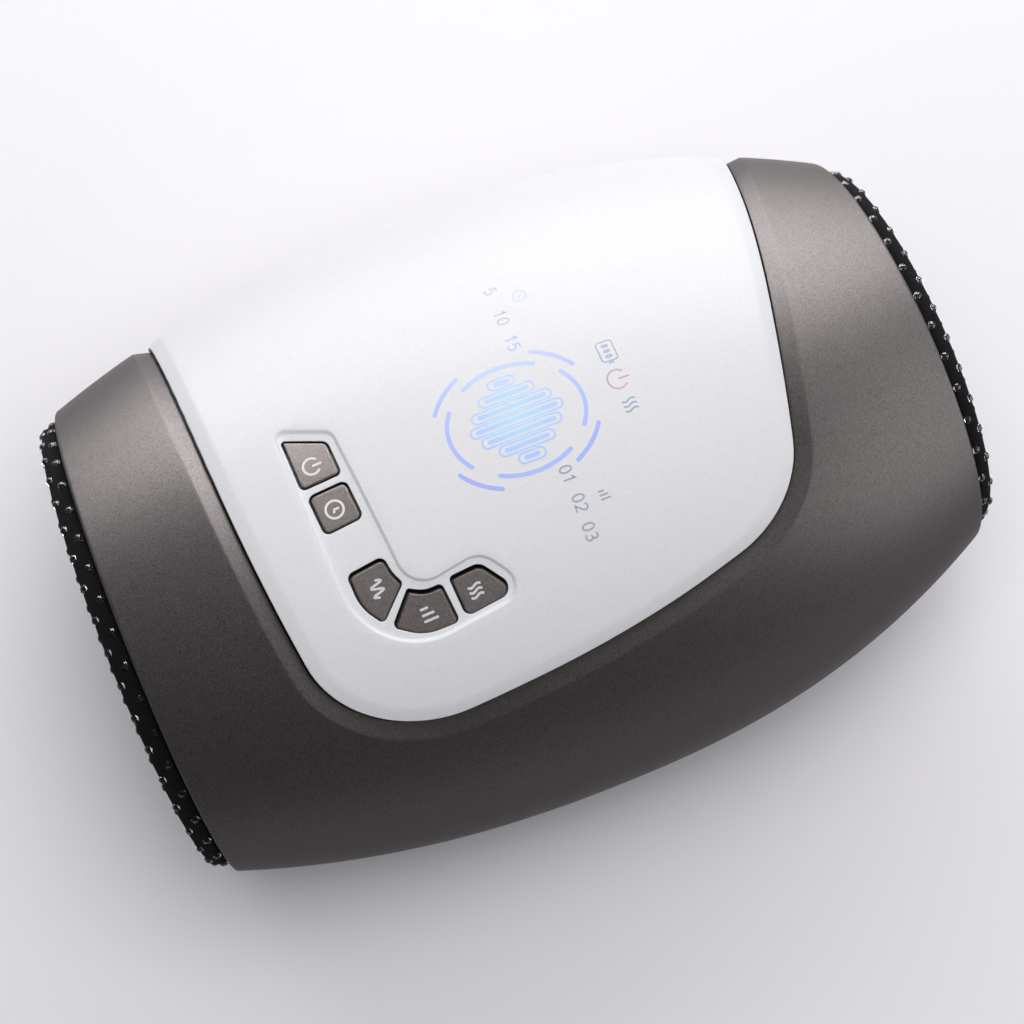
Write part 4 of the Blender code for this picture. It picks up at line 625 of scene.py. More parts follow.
def wall_reach(along, height, depth):
    """How far out the lower half's wall reaches at a height: its ellipse, solved for x."""
    share = (LEVEL - height) / (belly(along) - depth)
    return float((half_width(along) - depth) * math.sqrt(1 - share**2))


def bowl(edge, depth, shares):
    """Rings of the lower half's surface from under its middle out to an edge."""
    centre = np.full(len(edge[0]), math.pi), np.zeros(len(edge[0]))
    return [skin(*between(centre, edge, share), depth) for share in shares]


def base_rings():
    """Rings of the base's section: outside from the middle to a rounded rim, then back along the inside."""
    height = SPLIT - SEAM / 2
    edge, shares = border(0, height, True), np.linspace(BOWL_MIDDLE, 1, BASE_STEPS)
    centre = np.full(len(edge[0]), math.pi), np.zeros(len(edge[0]))
    length = np.linalg.norm(skin(*edge) - skin(*centre), axis=1)
    rings = bowl(edge, 0, shares[:-1]) + lip(centre, length, height, True, 0)
    return rings + bowl(border(WALL, height, True), WALL, shares[::-1])


def at_height(plan, height):
    return np.column_stack([plan, np.full(len(plan), height)])


def bay_core():
    """The space inside the lower half to half its wall's depth, carried straight up past the pillars."""
    rings = bowl(border(WALL / 2, SPLIT, True), WALL / 2, np.linspace(BOWL_MIDDLE, 1, 10))
    return lathe([*rings, at_height(rings[-1][:, :2], FRAME_FLOOR + OVERRUN)])


def four_places(x, y):
    return [(-x, -y), (-x, y), (x, -y), (x, y)]


port_low, port_high = PORT_Z - PORT_HEIGHT / 2, PORT_Z + PORT_HEIGHT / 2
port_mouth = SEAT - wall_reach(PORT_Y, port_low, 0)
port_board_low = port_high + SEAT
port_board_start = SEAT - wall_reach(PORT_Y + PORT_WIDTH / 2 + WALL, port_board_low, WALL)
casing_base = piece("casing_base", lathe(base_rings()), casing_paint)
posts = [rod(SCREW_HEAD + WALL, STANDING, SPLIT - SEAM / 2, place, 24) for place in screw_places]
pillars = four_places(PILLAR_X, PILLAR_Y)
posts += [rod(PILLAR_RADIUS, STANDING, FRAME_FLOOR - SEAT, place, 20) for place in pillars]
for share in PORT_POST_SHARES:
    place = port_board_start + CHARGE_BOARD_LENGTH * share, PORT_Y
    posts.append(rod(PORT_POST_RADIUS, STANDING, port_board_low - SEAT, place, 16))
combine(casing_base, "UNION", posts, trim=bay_core())
wells = [rod(SCREW_HEAD + SEAT, -OVERRUN, SCREW_SEAT, place) for place in screw_places]
combine(casing_base, "DIFFERENCE", wells)
bores = [rod(SCREW_SHAFT + SEAT, SCREW_SEAT - WALL, SPLIT + OVERRUN, place, 16) for place in screw_places]
combine(casing_base, "DIFFERENCE", bores)
pocket_top = STANDING + FOOT_POCKET
pockets = [rod(FOOT_RADIUS + SEAT, -OVERRUN, pocket_top, place, 48) for place in four_places(FOOT_X, FOOT_Y)]
pockets.append(block(
    (-HALF_WIDTH, PORT_Y - PORT_WIDTH / 2 - SEAT, port_low - SEAT),
    (port_mouth + PORT_LENGTH + SEAT, PORT_Y + PORT_WIDTH / 2 + SEAT, port_high + SEAT),
))
combine(casing_base, "DIFFERENCE", pockets)
smooth(casing_base)
dress(casing_base, "base_shell")


# Control panel: a pearl silver-white ABS cover, clipped into the window on the upper half's ledge.
# Its edge is bevelled, and an L-shaped island with a hole for each key is sunk into it.
ISLAND_WIDTH = HALF_WIDTH * 0.7595
ISLAND_LENGTH = LENGTH * 0.29
ISLAND_X = HALF_WIDTH * 0.1266
ISLAND_Y = LENGTH * -0.1692
ISLAND_SINK = 0.0009
ISLAND_WALL = 0.0009
EDGE_ROUND = 0.00025
BEVEL_SOFT = 0.0006
HOLE_ROUND = 0.0002
FILL_SPACING = 0.0022
FLOOR_SPACING = 0.0013
UNDER_FROM = 0.0015
UNDER_EASE = 0.0060
UNDER_TURN = 0.9
UNDER_TURN_EASE = 0.2

# Corners of the island and of the key holes, as shares of the island's size from its middle: x, y, rounding
island_corners = (
    (-0.493, -0.347, 0.025), (-0.399, -0.149, 0.045), (0.313, -0.094, 0.118), (0.271, 0.209, 0.095),
    (0.455, 0.341, 0.062), (0.520, -0.325, 0.380),
)
key_corners = {
    "power": (
        (-0.460, -0.340, 0.014), (-0.378, -0.169, 0.038), (-0.225, -0.163, 0.024), (-0.221, -0.336, 0.027),
    ),
    "time": (
        (-0.193, -0.325, 0.030), (-0.198, -0.160, 0.030), (-0.028, -0.148, 0.030), (-0.017, -0.315, 0.030),
    ),
    "mode": (
        (0.153, -0.294, 0.027), (0.138, -0.138, 0.030), (0.213, -0.126, 0.160), (0.262, -0.102, 0.022),
        (0.378, -0.227, 0.022), (0.285, -0.290, 0.300),
    ),
    "intensity": (
        (0.287, -0.096, 0.014), (0.320, -0.038, 0.120), (0.318, 0.034, 0.022), (0.476, 0.050, 0.022),
        (0.474, -0.098, 0.260), (0.400, -0.203, 0.022),
    ),
    "heat": ((0.308, 0.065, 0.020), (0.300, 0.196, 0.055), (0.448, 0.305, 0.042), (0.470, 0.075, 0.034)),
}


def unit(ways):
    return ways / np.linalg.norm(ways, axis=1)[:, None]


def ahead_of(loop):
    """Each point's follower in a closed loop."""
    return np.roll(loop, -1, axis=0)


def plan_outline(shares, inward=0.0, arc_points=9, side_points=14):
    """Outline in plan of corners given as shares, with every side moved inwards by a distance."""
    corners = np.asarray(shares) * (ISLAND_WIDTH, ISLAND_LENGTH, ISLAND_LENGTH) + (ISLAND_X, ISLAND_Y, 0)
    here = corners[:, :2]
    following = ahead_of(here)
    run = unit(following - here)
    way = np.sign(np.sum(here[:, 0] * following[:, 1] - following[:, 0] * here[:, 1]))
    ahead = np.column_stack([-run[:, 1], run[:, 0]]) * way
    behind = np.roll(ahead, 1, axis=0)
    place = here + (ahead + behind) * (inward / (1 + (ahead * behind).sum(1)))[:, None]
    turns_in = np.sign((run * behind).sum(1))
    radius = np.maximum(corners[:, 2] - inward * turns_in, HOLE_ROUND / 2)
    arcs = rounded(np.column_stack([place, radius]), arc_points).reshape(len(corners), arc_points, 2)
    share = np.linspace(0, 1, side_points + 2)[None, 1:-1, None]
    sides = arcs[:, -1:] + (ahead_of(arcs)[:, :1] - arcs[:, -1:]) * share
    return np.concatenate([arcs, sides], axis=1).reshape(-1, 2)


def unrolled(plan, depth=0.0):
    """Plan points as (turn times half width, along) on the casing: x solved for the turn."""
    turn = np.arcsin(plan[:, 0] / (half_width(plan[:, 1]) - depth))
    return np.column_stack([turn * HALF_WIDTH, plan[:, 1]])


def inside(points, loop):
    """Whether each point lies within a closed loop: it crosses the loop's sides an odd number of times."""
    x, y = points[:, :1], points[:, 1:]
    (ax, ay), (bx, by) = loop.T, ahead_of(loop).T
    crosses = (ay > y) != (by > y)
    where = ax + (y - ay) * (bx - ax) / np.where(by == ay, 1, by - ay)
    return (crosses & (x < where)).sum(1) % 2 == 1


def nearest(points, others):
    """Each point's distance from the nearest of the others."""
    return np.sqrt(((points[:, None] - others[None]) ** 2).sum(-1).min(1))


def within(points, outer, holes):
    """Whether each point lies inside the outer loop and outside every hole."""
    return inside(points, outer) & ~np.any([inside(points, hole) for hole in holes], axis=0)


def filled(outer, holes, spacing):
    """(points, triangles) inside a loop and outside its holes, over rows of staggered points between them."""
    low, high = outer.min(0), outer.max(0)
    rows = np.arange(low[1], high[1], spacing * 0.866)
    x, y = np.meshgrid(np.arange(low[0], high[0], spacing), rows)
    x = x + spacing / 2 * (np.arange(len(rows)) % 2)[:, None]
    fill = np.column_stack([x.ravel(), y.ravel()])
    loops = [outer, *holes]
    fill = fill[within(fill, outer, holes)]
    fill = fill[nearest(fill, np.concatenate(loops)) > spacing * 0.45]
    points, edges, start = np.concatenate([*loops, fill]), [], 0
    for loop in loops:
        here = start + np.arange(len(loop))
        edges.append(np.column_stack([here, ahead_of(here)]))
        start += len(loop)
    found = delaunay_2d_cdt(
        [Vector(point) for point in (points * 1000).tolist()], np.concatenate(edges).tolist(), [], 0, 1e-6
    )
    triangles = np.array([ids[0] for ids in found[3]])[np.array(found[2])]
    return points, triangles[within(points[triangles].mean(1), outer, holes)]


def panel_faces():
    """The panel's upper side laid flat: points, depths, triangles, quads, its edge loop and hole loops."""
    bevel = EDGE_ROUND * np.array([0, 0.25, 0.6, 1.0])
    bevel = np.concatenate([bevel, np.linspace(1.5 * EDGE_ROUND, 1.35 * PANEL_BEVEL, 12)])
    drop = bend(PANEL_BEVEL - bevel, BEVEL_SOFT) - bend(PANEL_BEVEL - bevel[-1], BEVEL_SOFT)
    arc_drop = EDGE_ROUND * (1 - np.sqrt(1 - np.clip(1 - bevel / EDGE_ROUND, 0, 1) ** 2))
    edge = [np.column_stack(shifted(*panel_edge, -s)) * (HALF_WIDTH, 1) for s in bevel]
    share = np.linspace(0, 1, 9)
    wall = [unrolled(plan_outline(island_corners, (s - 0.94) * ISLAND_WALL, 14, 40)) for s in share]
    out, sink = quarter(HOLE_ROUND)[::-1].T
    lips = [[unrolled(plan_outline(shares, -away)) for away in out] for shares in key_corners.values()]
    bands = [(edge, PANEL_EDGE_DROP / PANEL_BEVEL * drop + arc_drop)]
    bands += [(wall, ISLAND_SINK * (1 - np.cos(math.pi * share)) / 2)]
    bands += [(rings, ISLAND_SINK + sink) for rings in lips]
    points, depths, triangles, quads, inner_loops, start = [], [], [], [], [], 0
    for rings, ring_depths in bands:
        quads.append(grid_faces(len(rings), len(rings[0])) + start)
        points += rings
        depths.append(np.repeat(ring_depths, len(rings[0])))
        start += sum(map(len, rings))
        inner_loops.append(start - len(rings[0]) + np.arange(len(rings[0])))
    field = filled(edge[-1], [wall[0]], FILL_SPACING)
    floor = filled(wall[-1], [rings[0] for rings in lips], FLOOR_SPACING)
    for (more, faces), depth in ((field, 0.0), (floor, ISLAND_SINK)):
        points.append(more)
        depths.append(np.full(len(more), depth))
        triangles.append(faces + start)
        start += len(more)
    rim = np.arange(len(edge[0]))
    return np.concatenate(points), np.concatenate(depths), triangles, quads, rim, inner_loops[2:]


def panel_shell():
    """The flat upper side put on the casing's surface, with an underside and walls down its edge and holes:
    points, faces and how many of the faces, from the first, are pearl; the rest are a painted shade."""
    flat, depth, triangles, quads, rim, holes = panel_faces()
    turn, along = flat[:, 0] / HALF_WIDTH, flat[:, 1]
    straight = np.clip((nearest(flat, flat[rim]) - UNDER_FROM) / UNDER_EASE, 0, 1)
    straight *= np.clip((UNDER_TURN - np.abs(turn)) / UNDER_TURN_EASE, 0, 1)
    reach = half_width(along)
    across = np.clip(reach * np.sin(turn) / (reach - PANEL_THICK), -1, 1)
    under = skin(turn + (np.arcsin(across) - turn) * straight, along, PANEL_THICK)
    count, upper = len(flat), [*triangles, *quads]
    faces = upper + [group[:, ::-1] + count for group in upper]
    for loop in (rim, *holes):
        ahead = ahead_of(loop)
        faces.append(np.column_stack([loop, ahead, ahead + count, loop + count]))
    return np.concatenate([skin(turn, along, depth), under]), faces, sum(map(len, upper))


pearl_paint = metallic_paint(
    "pearl_paint", (0.785, 0.785, 0.81), (0.875, 0.875, 0.90), 0.00018, 0.000003, Roughness=0.45,
    Metallic=0.0, Coat_Weight=0.05, Coat_Roughness=0.25, Specular_IOR_Level=0.08,
)
points, faces, painted = panel_shell()
pearl_panel = piece("pearl_panel", (points, faces), pearl_paint)
# The panel's underside and the walls down its edge and key holes are painted near-black: painted shade in the
# gaps.
paint_gap_shade(pearl_panel, np.arange(len(pearl_panel.data.polygons)) >= painted)
work = bmesh.new()
work.from_mesh(pearl_panel.data)
bmesh.ops.remove_doubles(work, verts=work.verts, dist=1e-7)
bmesh.ops.recalc_face_normals(work, faces=work.faces)
work.to_mesh(pearl_panel.data)
work.free()
smooth(pearl_panel, 40)
dress(pearl_panel, "control_panel")


# Keys: five grey satin caps in the island's holes, moulded with a flange that keeps each one in.
# Each cap's face follows the panel a little below the island's floor, and its stem stands on a dome.
KEY_SINK = 0.0012
KEY_GAP = 0.0005
KEY_ROUND = 0.00045
KEY_SKIRT = CROWN * 0.0057
KEY_FLANGE = 0.0008
KEY_FLANGE_THICK = CROWN * 0.0094
KEY_STEM = 0.42
KEY_FACE_SHARES = (0.04, 0.25, 0.5, 0.7, 0.85, 0.95)
BOARD_TOP = CROWN * (0.566 + 0.1887 + 0.0425 + 0.0189 + 0.0142 + 0.0151)
MAT_THICK = CROWN * 0.0075
DOME_HEIGHT = CROWN * 0.0113


def key_rings(corners):
    """Rings of a cap from the middle of its face over a rounded edge, down its skirt to its stem."""
    top = plan_outline(corners, KEY_GAP + KEY_ROUND)
    cap, flange = plan_outline(corners, KEY_GAP), plan_outline(corners, KEY_GAP - KEY_FLANGE)
    middle = plan_outline(corners).mean(0)
    stem = middle + (cap - middle) * KEY_STEM
    rings = [over_plan(middle + (top - middle) * share, KEY_SINK) for share in KEY_FACE_SHARES]
    for away, drop in quarter(KEY_ROUND, 6)[::-1]:
        rings.append(over_plan(plan_outline(corners, KEY_GAP + away), KEY_SINK + drop))
    skirt, low = PANEL_THICK + KEY_SKIRT, PANEL_THICK + KEY_SKIRT + KEY_FLANGE_THICK
    rings += [over_plan(cap, skirt), over_plan(flange, skirt), over_plan(flange, low), over_plan(stem, low)]
    return [*rings, at_height(stem, BOARD_TOP + SEAT + MAT_THICK + DOME_HEIGHT + SEAT)]


key_grey = metallic_paint(
    "key_grey", (0.120, 0.102, 0.099), (0.215, 0.190, 0.187), 0.00024, 0.000022, Roughness=0.48,
    Metallic=0.50,
)
for key, corners in key_corners.items():
    dress(piece(f"{key}_cap", lathe(key_rings(corners)), key_grey), f"{key}_key", f"{key}_key_cap")


# Prints on the keys: a white symbol pad-printed on each cap, which moves with its key.
# Every line is a thin film of ink of even width with round ends, laid on the cap's face.
PRINT_RISE = 0.00003
PRINT_FOOT = 0.00005
PRINT_STEP = 0.0004
KEY_LINE = 0.00056


def stroke(line, width, sink=0.0, closed=False):
    """A film of ink along a line in plan: it has half the width to each side, which at a free end falls to
    zero as in a circle, and a corner is mitred by its two sides' normals' sum over one plus their
    product."""
    line = np.asarray(line, float)
    line = np.concatenate([line, line[:1]]) if closed else line
    along = np.concatenate([[0], np.cumsum(np.linalg.norm(np.diff(line, axis=0), axis=1))])
    stations = np.union1d(along, np.arange(0, along[-1], PRINT_STEP))
    if not closed:
        tip = width / 2 * (1 - np.cos(np.radians([24, 40, 56, 72, 90])))
        stations = np.union1d(stations, np.concatenate([tip, along[-1] - tip]))
        stations = stations[(stations >= tip[0]) & (stations <= along[-1] - tip[0])]
    stations = stations[np.concatenate([[True], np.diff(stations) > 1e-7])]
    points = np.column_stack([np.interp(stations, along, line[:, axis]) for axis in (0, 1)])
    if closed:
        points = points[:-1]
        run = unit(ahead_of(points) - points)
        before, half = np.roll(run, 1, axis=0), np.full(len(points), width / 2)
    else:
        run = unit(np.diff(points, axis=0))
        before, run = np.concatenate([run[:1], run]), np.concatenate([run, run[-1:]])
        from_end = np.clip(1 - 2 * np.minimum(stations, along[-1] - stations) / width, 0, 1)
        half = width / 2 * np.sqrt(1 - from_end**2)
    normal = np.column_stack([-(run + before)[:, 1], (run + before)[:, 0]])
    normal *= (half / (1 + (run * before).sum(1)))[:, None]
    left, right = points + normal, points - normal
    foot, top = sink + PRINT_FOOT, sink - PRINT_RISE
    corners = (left, foot), (left, top), (right, top), (right, foot)
    rings = np.stack([over_plan(side, depth) for side, depth in corners], axis=1)
    return torus(rings) if closed else lathe(rings)


def arc(x, y, across, up, start, end, steps=24):
    """Points of an ellipse's arc from one angle to another, in degrees."""
    angle = np.radians(np.linspace(start, end, steps))
    return np.column_stack([x + across * np.cos(angle), y + up * np.sin(angle)])


# Lines of each symbol in millimetres from its middle; a closed one ends where it starts
wave, warmth = np.linspace(-2.0, 2.0, 48), np.linspace(-1.65, 1.65, 24)
curl = 0.32 * np.sin(np.linspace(0, math.tau, 24))
symbols = {
    "power": [arc(0, -0.2, 2.0, 2.0, 128, 412, 40), [(0, -0.1), (0, 2.3)]],
    "clock": [arc(0, 0, 2.1, 2.1, 0, 352.5, 48), [(0, 1.15), (0, -0.1), (0.85, -0.45)]],
    "wave": [np.column_stack([wave, 1.35 * np.sin(math.tau * wave / 2.0)])],
    "level": [[(-1.35, -1.7), (-1.35, 0.4)], [(0, -1.7), (0, 1.4)], [(1.35, -1.7), (1.35, 2.0)]],
    "heat": [np.column_stack([x + curl, warmth]) for x in (-1.15, 0, 1.15)],
}
MILLIMETRE = 0.001


def laid(lines, place, scale, width, sink=0.0):
    """Strokes of lines scaled and set at a place; a line whose ends nearly meet is closed."""
    strokes = []
    for line in lines:
        line = np.asarray(line, float)
        closed = len(line) > 40 and np.linalg.norm(line[0] - line[-1]) < 0.3
        strokes.append(stroke(line * scale + place, width, sink, closed))
    return strokes


def ink(name, near, far, middle, reach, glow=0.0):
    """Printed or lit ink: its colour goes from near to far with the distance from a place, finely mottled."""
    made = finish(name, Roughness=0.5, Emission_Strength=glow)
    tree = made.node_tree
    away = {0: on_object(tree), 1: middle}
    away = add(tree, "ShaderNodeVectorMath", away, operation="DISTANCE").outputs["Value"]
    spread = maths(tree, "MULTIPLY_ADD", noise(tree, 4000.0), reach * 0.2, away)
    share = {"Value": spread, "From Min": reach * 0.1, "From Max": reach * 1.1}
    colour = shade(tree, add(tree, "ShaderNodeMapRange", share).outputs[0], near, far)
    return feed(made, Base_Color=colour, **({"Emission_Color": colour} if glow else {}))


white_ink = ink("white_ink", (0.80, 0.80, 0.81), (0.70, 0.70, 0.72), (0.010, -0.045, 0.100), 0.04)
key_prints = {
    "power": ("power", (-0.0082, -0.0505)),
    "time": ("clock", (0.0037, -0.0495)),
    "mode": ("wave", (0.0244, -0.0471)),
    "intensity": ("level", (0.0338, -0.0382)),
    "heat": ("heat", (0.0331, -0.0262)),
}
for key, (symbol, place) in key_prints.items():
    marks = piece(f"{key}_print", laid(symbols[symbol], place, MILLIMETRE, KEY_LINE, KEY_SINK), white_ink)
    dress(marks, body=f"{key}_key_cap")


# Display: translucent windows in the panel's pearl film, lit from behind through the light box.
# Plain numbers and symbols stand beside a pattern of pressure bars; the unlit ones show pale grey.
FIGURE_HEIGHT = 0.0028
FIGURE_LINE = 0.00042
EMBLEM_LINE = 0.0010
EMBLEM_X = 0.0002
EMBLEM_Y = -0.0026
BAR_LINE = 0.0011
BAR_MARGIN = 0.00125
BATTERY_X = -0.0078
BATTERY_Y = 0.0236
CHARGE_STEP = 0.0014
CHARGE_LINE = 0.0009

# The emblem's rings (half sizes, where each arc starts and how far it goes) and bars (place and half length)
EMBLEM_RINGS = ((0.0164, 0.0198, (27, 117, 207, 297), 36), (0.0134, 0.0166, (56, 146, 236, 326), 68))
EMBLEM_BARS = (
    (-0.0096, 0.0020), (-0.0064, 0.0056), (-0.0032, 0.0086), (0, 0.0102), (0.0032, 0.0086), (0.0064, 0.0056),
    (0.0096, 0.0020),
)

# Lines of each figure as shares of its height; a closed one has 42 points
figures = {
    "0": [arc(0.30, 0.5, 0.27, 0.5, 0, 350, 42)],
    "1": [[(0.10, 0.76), (0.34, 1.0), (0.34, 0)]],
    "2": [np.concatenate([arc(0.30, 0.72, 0.25, 0.28, 165, -35), [(0.04, 0), (0.58, 0)]])],
    "3": [np.concatenate([
        arc(0.29, 0.76, 0.22, 0.24, 150, -80, 20), arc(0.29, 0.27, 0.27, 0.27, 80, -150, 20),
    ])],
    "5": [np.concatenate([[(0.53, 1), (0.12, 1), (0.08, 0.56)], arc(0.28, 0.32, 0.28, 0.32, 118, -140)])],
}


def written(text, place):
    """Strokes of a number in plain figures, centred on a place."""
    strokes = []
    for i, figure in enumerate(text):
        corner = np.array(place) + FIGURE_HEIGHT * np.array([(i - len(text) / 2) * 0.82 + 0.11, -0.5])
        for line in figures[figure]:
            strokes.append(stroke(np.asarray(line) * FIGURE_HEIGHT + corner, FIGURE_LINE, 0, len(line) == 42))
    return strokes


def box(x, y, across, up, radius):
    """A closed stroke round a box with rounded corners."""
    corners = [(x - across, y - up), (x + across, y - up), (x + across, y + up), (x - across, y + up)]
    return stroke(rounded([(*corner, radius) for corner in corners], 12), FIGURE_LINE, 0, True)


def upright(x, y, half, width):
    return stroke([(x, y - half), (x, y + half)], width)


def battery():
    """An upright cell outline with its cap, three blocks of charge inside."""
    cap = upright(BATTERY_X + 0.0030, BATTERY_Y, 0.0007, FIGURE_LINE * 1.5)
    blocks = [upright(BATTERY_X + i * CHARGE_STEP, BATTERY_Y, 0.0009, CHARGE_LINE) for i in (-1, 0, 1)]
    return [box(BATTERY_X, BATTERY_Y, 0.0026, 0.0020, 0.0008), cap, *blocks]


def emblem():
    """Two broken oval rings round seven upright bars, each in its own outline, like a gauge of pressure."""
    strokes = []
    for across, up, starts, sweep in EMBLEM_RINGS:
        for start in starts:
            strokes.append(stroke(arc(EMBLEM_X, EMBLEM_Y, across, up, start, start + sweep, 40), EMBLEM_LINE))
    for x, half in EMBLEM_BARS:
        strokes.append(upright(EMBLEM_X + x, EMBLEM_Y, half, BAR_LINE))
        strokes.append(box(EMBLEM_X + x, EMBLEM_Y, BAR_MARGIN, half + BAR_MARGIN, BAR_MARGIN))
    return strokes


pale_grey = ink("unlit_grey", (0.34, 0.355, 0.40), (0.40, 0.41, 0.46), (-0.030, 0.004, 0.1), 0.02)
slate = ink("slate_lit", (0.30, 0.37, 0.50), (0.38, 0.43, 0.53), (0.0, 0.020, 0.1), 0.035)
violet = ink("violet_lit", (0.30, 0.36, 0.86), (0.36, 0.42, 0.88), (-0.018, 0.004, 0.1), 0.012, 0.06)
rose = ink("rose_lit", (0.82, 0.28, 0.38), (0.36, 0.33, 0.44), (0.0030, 0.0245, 0.105), 0.0062, 0.05)
blue = ink("blue_lit", (0.42, 0.70, 0.96), (0.36, 0.40, 0.92), (EMBLEM_X, EMBLEM_Y, 0.105), 0.020, 0.08)

# Look, numbers with their places, symbols with their places and scales, and other strokes of each piece
display = {
    "unlit_figures": (pale_grey, [("5", (-0.0337, 0.0046)), ("10", (-0.0256, 0.0041))], [], []),
    "violet_symbols": (violet, [("15", (-0.0181, 0.0038))], [("clock", (-0.0297, 0.0105), 0.00075)], []),
    "slate_symbols": (
        slate, [("01", (0.0168, 0.0032)), ("02", (0.0239, 0.0035)), ("03", (0.0307, 0.0033))],
        [("level", (0.0241, 0.0095), 0.0007), ("heat", (0.0066, 0.0235), 0.00105)], battery(),
    ),
    "power_light": (rose, [], [("power", (-0.0003, 0.0234), 0.0012)], []),
    "pressure_emblem": (blue, [], [], emblem()),
}
for name, (look, numbers, marks, others) in display.items():
    strokes = [part for text, place in numbers for part in written(text, place)]
    for symbol, place, scale in marks:
        strokes += laid(symbols[symbol], place, scale, FIGURE_LINE)
    dress(piece(name, strokes + others, look))


# Cuff rings: black moulded rings just inside each mouth, which clamp the cuff's cloth against the casing.
# They show only as a thin dark line between the casing's lip and the cuff.
RING_GAP = 0.0010
RING_THICK = 0.0018
RING_SINK = 0.0010
RING_LENGTH = 0.0100
AROUND = 360
CLOUD_GRAINS = 30
GRAIN_FLATNESS = 12


def grained_plastic(name, dark, light, grain, **sockets):
    """Moulded plastic: a fine cellular grain in its surface and faint uneven tone."""
    made = finish(name, **sockets)
    tree = made.node_tree
    out = use(tree, flakes, {"Flake Size": grain, "Cloud Size": grain * CLOUD_GRAINS})
    colour = shade(tree, out["Clouds"], dark, light)
    return feed(made, out["Tone"], grain / GRAIN_FLATNESS, Base_Color=colour)


black_moulding = grained_plastic(
    "black_moulding", (0.012, 0.012, 0.013), (0.022, 0.022, 0.024), 0.0003, Roughness=0.45,
)
mouths = {"wide": (wide_mouth, -1), "narrow": (narrow_mouth, 1)}
around = np.linspace(0, math.tau, AROUND, endpoint=False)


def mouth_ring(section, mouth_at, way):
    """Rings round a mouth from (depth inside the casing's surface, place outside the mouth's edge) pairs."""
    return torus([skin(around, mouth_at(around, depth) + way * out, depth) for depth, out in section])


outer, inner = WALL + RING_GAP, WALL + RING_GAP + RING_THICK
clamp = (outer, -RING_SINK), (outer, -RING_LENGTH), (inner, -RING_LENGTH), (inner, -RING_SINK)
for side, (mouth_at, way) in mouths.items():
    ring = piece(f"{side}_clamp_ring", mouth_ring(clamp, mouth_at, way), black_moulding)
    dress(ring, f"{side}_cuff_ring")


# Cuffs: a roll of black knitted cloth over foam at each mouth, clamped outside and sewn to the lining inside.
# The cloth is drawn in under rows of clear silicone dots, which grip the wrist and the fingers.
LINING_INSET = 0.0150
CUFF_PROUD = 0.0050
CUFF_REACH_IN = 0.0090
CUFF_STEPS = 34
CUFF_SECTION_LENGTH = 0.035
CUFF_PRESSURE = 20000
CUFF_SWELL = 0.0007
CUFF_FRAMES = 20
CLAMPED_TO = 1.4
FULLEST_AT = 5.0
SEWN_FROM = 7.5
DOT_RADIUS = 0.00115
DOT_HEIGHT = 0.00080
DOT_SINK = 0.0001
DOT_SIDES = 10
DOT_SPACING = 0.0085
DOT_ROWS = (2.35, 3.6, 4.9, 5.7, 6.35, 7.0)
STITCH_WIDTH = 0.0007
STITCH_ROW = 0.0005
STITCH_RELIEF = 0.00012

# Section of a cuff from the clamp ring round to the lining: depth, place inside and outside, as shares
cuff_section = np.array([
    (0.40, -1.0, 0), (0.36, -0.08, 0), (0.16, 0, 0.18), (0.13, 0, 0.72), (0.18, 0, 1.02), (0.36, 0, 1.06),
    (0.62, 0, 0.90), (0.91, 0, 0.20), (1.08, -1.0, 0),
])


def smooth_curve(corners, where):
    """Places on a smooth line through corners, by a cubic between each two whose slope at each is half their
    neighbours' difference; where counts the corners from zero."""
    ends = np.concatenate([corners[:1], corners, corners[-1:]])
    i = np.clip(where.astype(int), 0, len(corners) - 2)
    t = (where - i)[..., None]
    a, b, c, d = ends[i], ends[i + 1], ends[i + 2], ends[i + 3]
    return b + (c - a) * t / 2 + (a * 2 - b * 5 + c * 4 - d) * t**2 / 2 + (b * 3 - a - c * 3 + d) * t**3 / 2


def cuff_surface(mouth_at, way):
    """The cuff's surface as a function of the turn and of a place counted along its section's corners."""

    def surface(turn, where):
        turn, where = np.broadcast_arrays(turn, where)
        inward, behind, proud = np.moveaxis(smooth_curve(cuff_section, where), -1, 0)
        depth = inward * LINING_INSET
        along = mouth_at(turn, depth) + way * (behind * CUFF_REACH_IN + proud * CUFF_PROUD)
        return skin(turn, along, depth)

    return surface


def dot_grid(surface, rows):
    """(turn, where) of staggered rows of dots, evenly spaced by length round the mouth."""
    turn = np.linspace(-math.pi, math.pi, 2001)
    length = np.linalg.norm(np.diff(surface(turn, np.float64(rows[0])), axis=0), axis=1)
    length = np.concatenate([[0], np.cumsum(length)])
    count = round(length[-1] / DOT_SPACING)
    share = (np.arange(count)[None, :] + 0.5 * (np.arange(len(rows)) % 2)[:, None]) / count
    return np.interp(share * length[-1], length, turn).ravel(), np.repeat(rows, count)


def surface_frame(surface, turn, where, step=1e-3):
    """Points of a surface with their normals and one tangent, from small steps each way."""
    over = surface(turn + step, where) - surface(turn - step, where)
    normal = np.cross(over, surface(turn, where + step) - surface(turn, where - step))
    return surface(turn, where), unit(normal), unit(over)


def domes(here, normal, over):
    """One low dome on each point: rings of a flattened ball from a little under the cloth to its top."""
    angle = np.radians([0, 30, 58, 80])[:, None]
    bearing = np.linspace(0, math.tau, DOT_SIDES, endpoint=False)[None, :]
    places = np.stack(np.broadcast_arrays(
        DOT_RADIUS * np.cos(angle) * np.cos(bearing),
        DOT_RADIUS * np.cos(angle) * np.sin(bearing),
        DOT_HEIGHT * np.sin(angle) - DOT_SINK,
    ), axis=-1)
    ways = np.stack([over, np.cross(normal, over), normal], axis=1)
    return [lathe(dome) for dome in here[:, None, None] + np.einsum("abk,dkx->dabx", places, ways)]


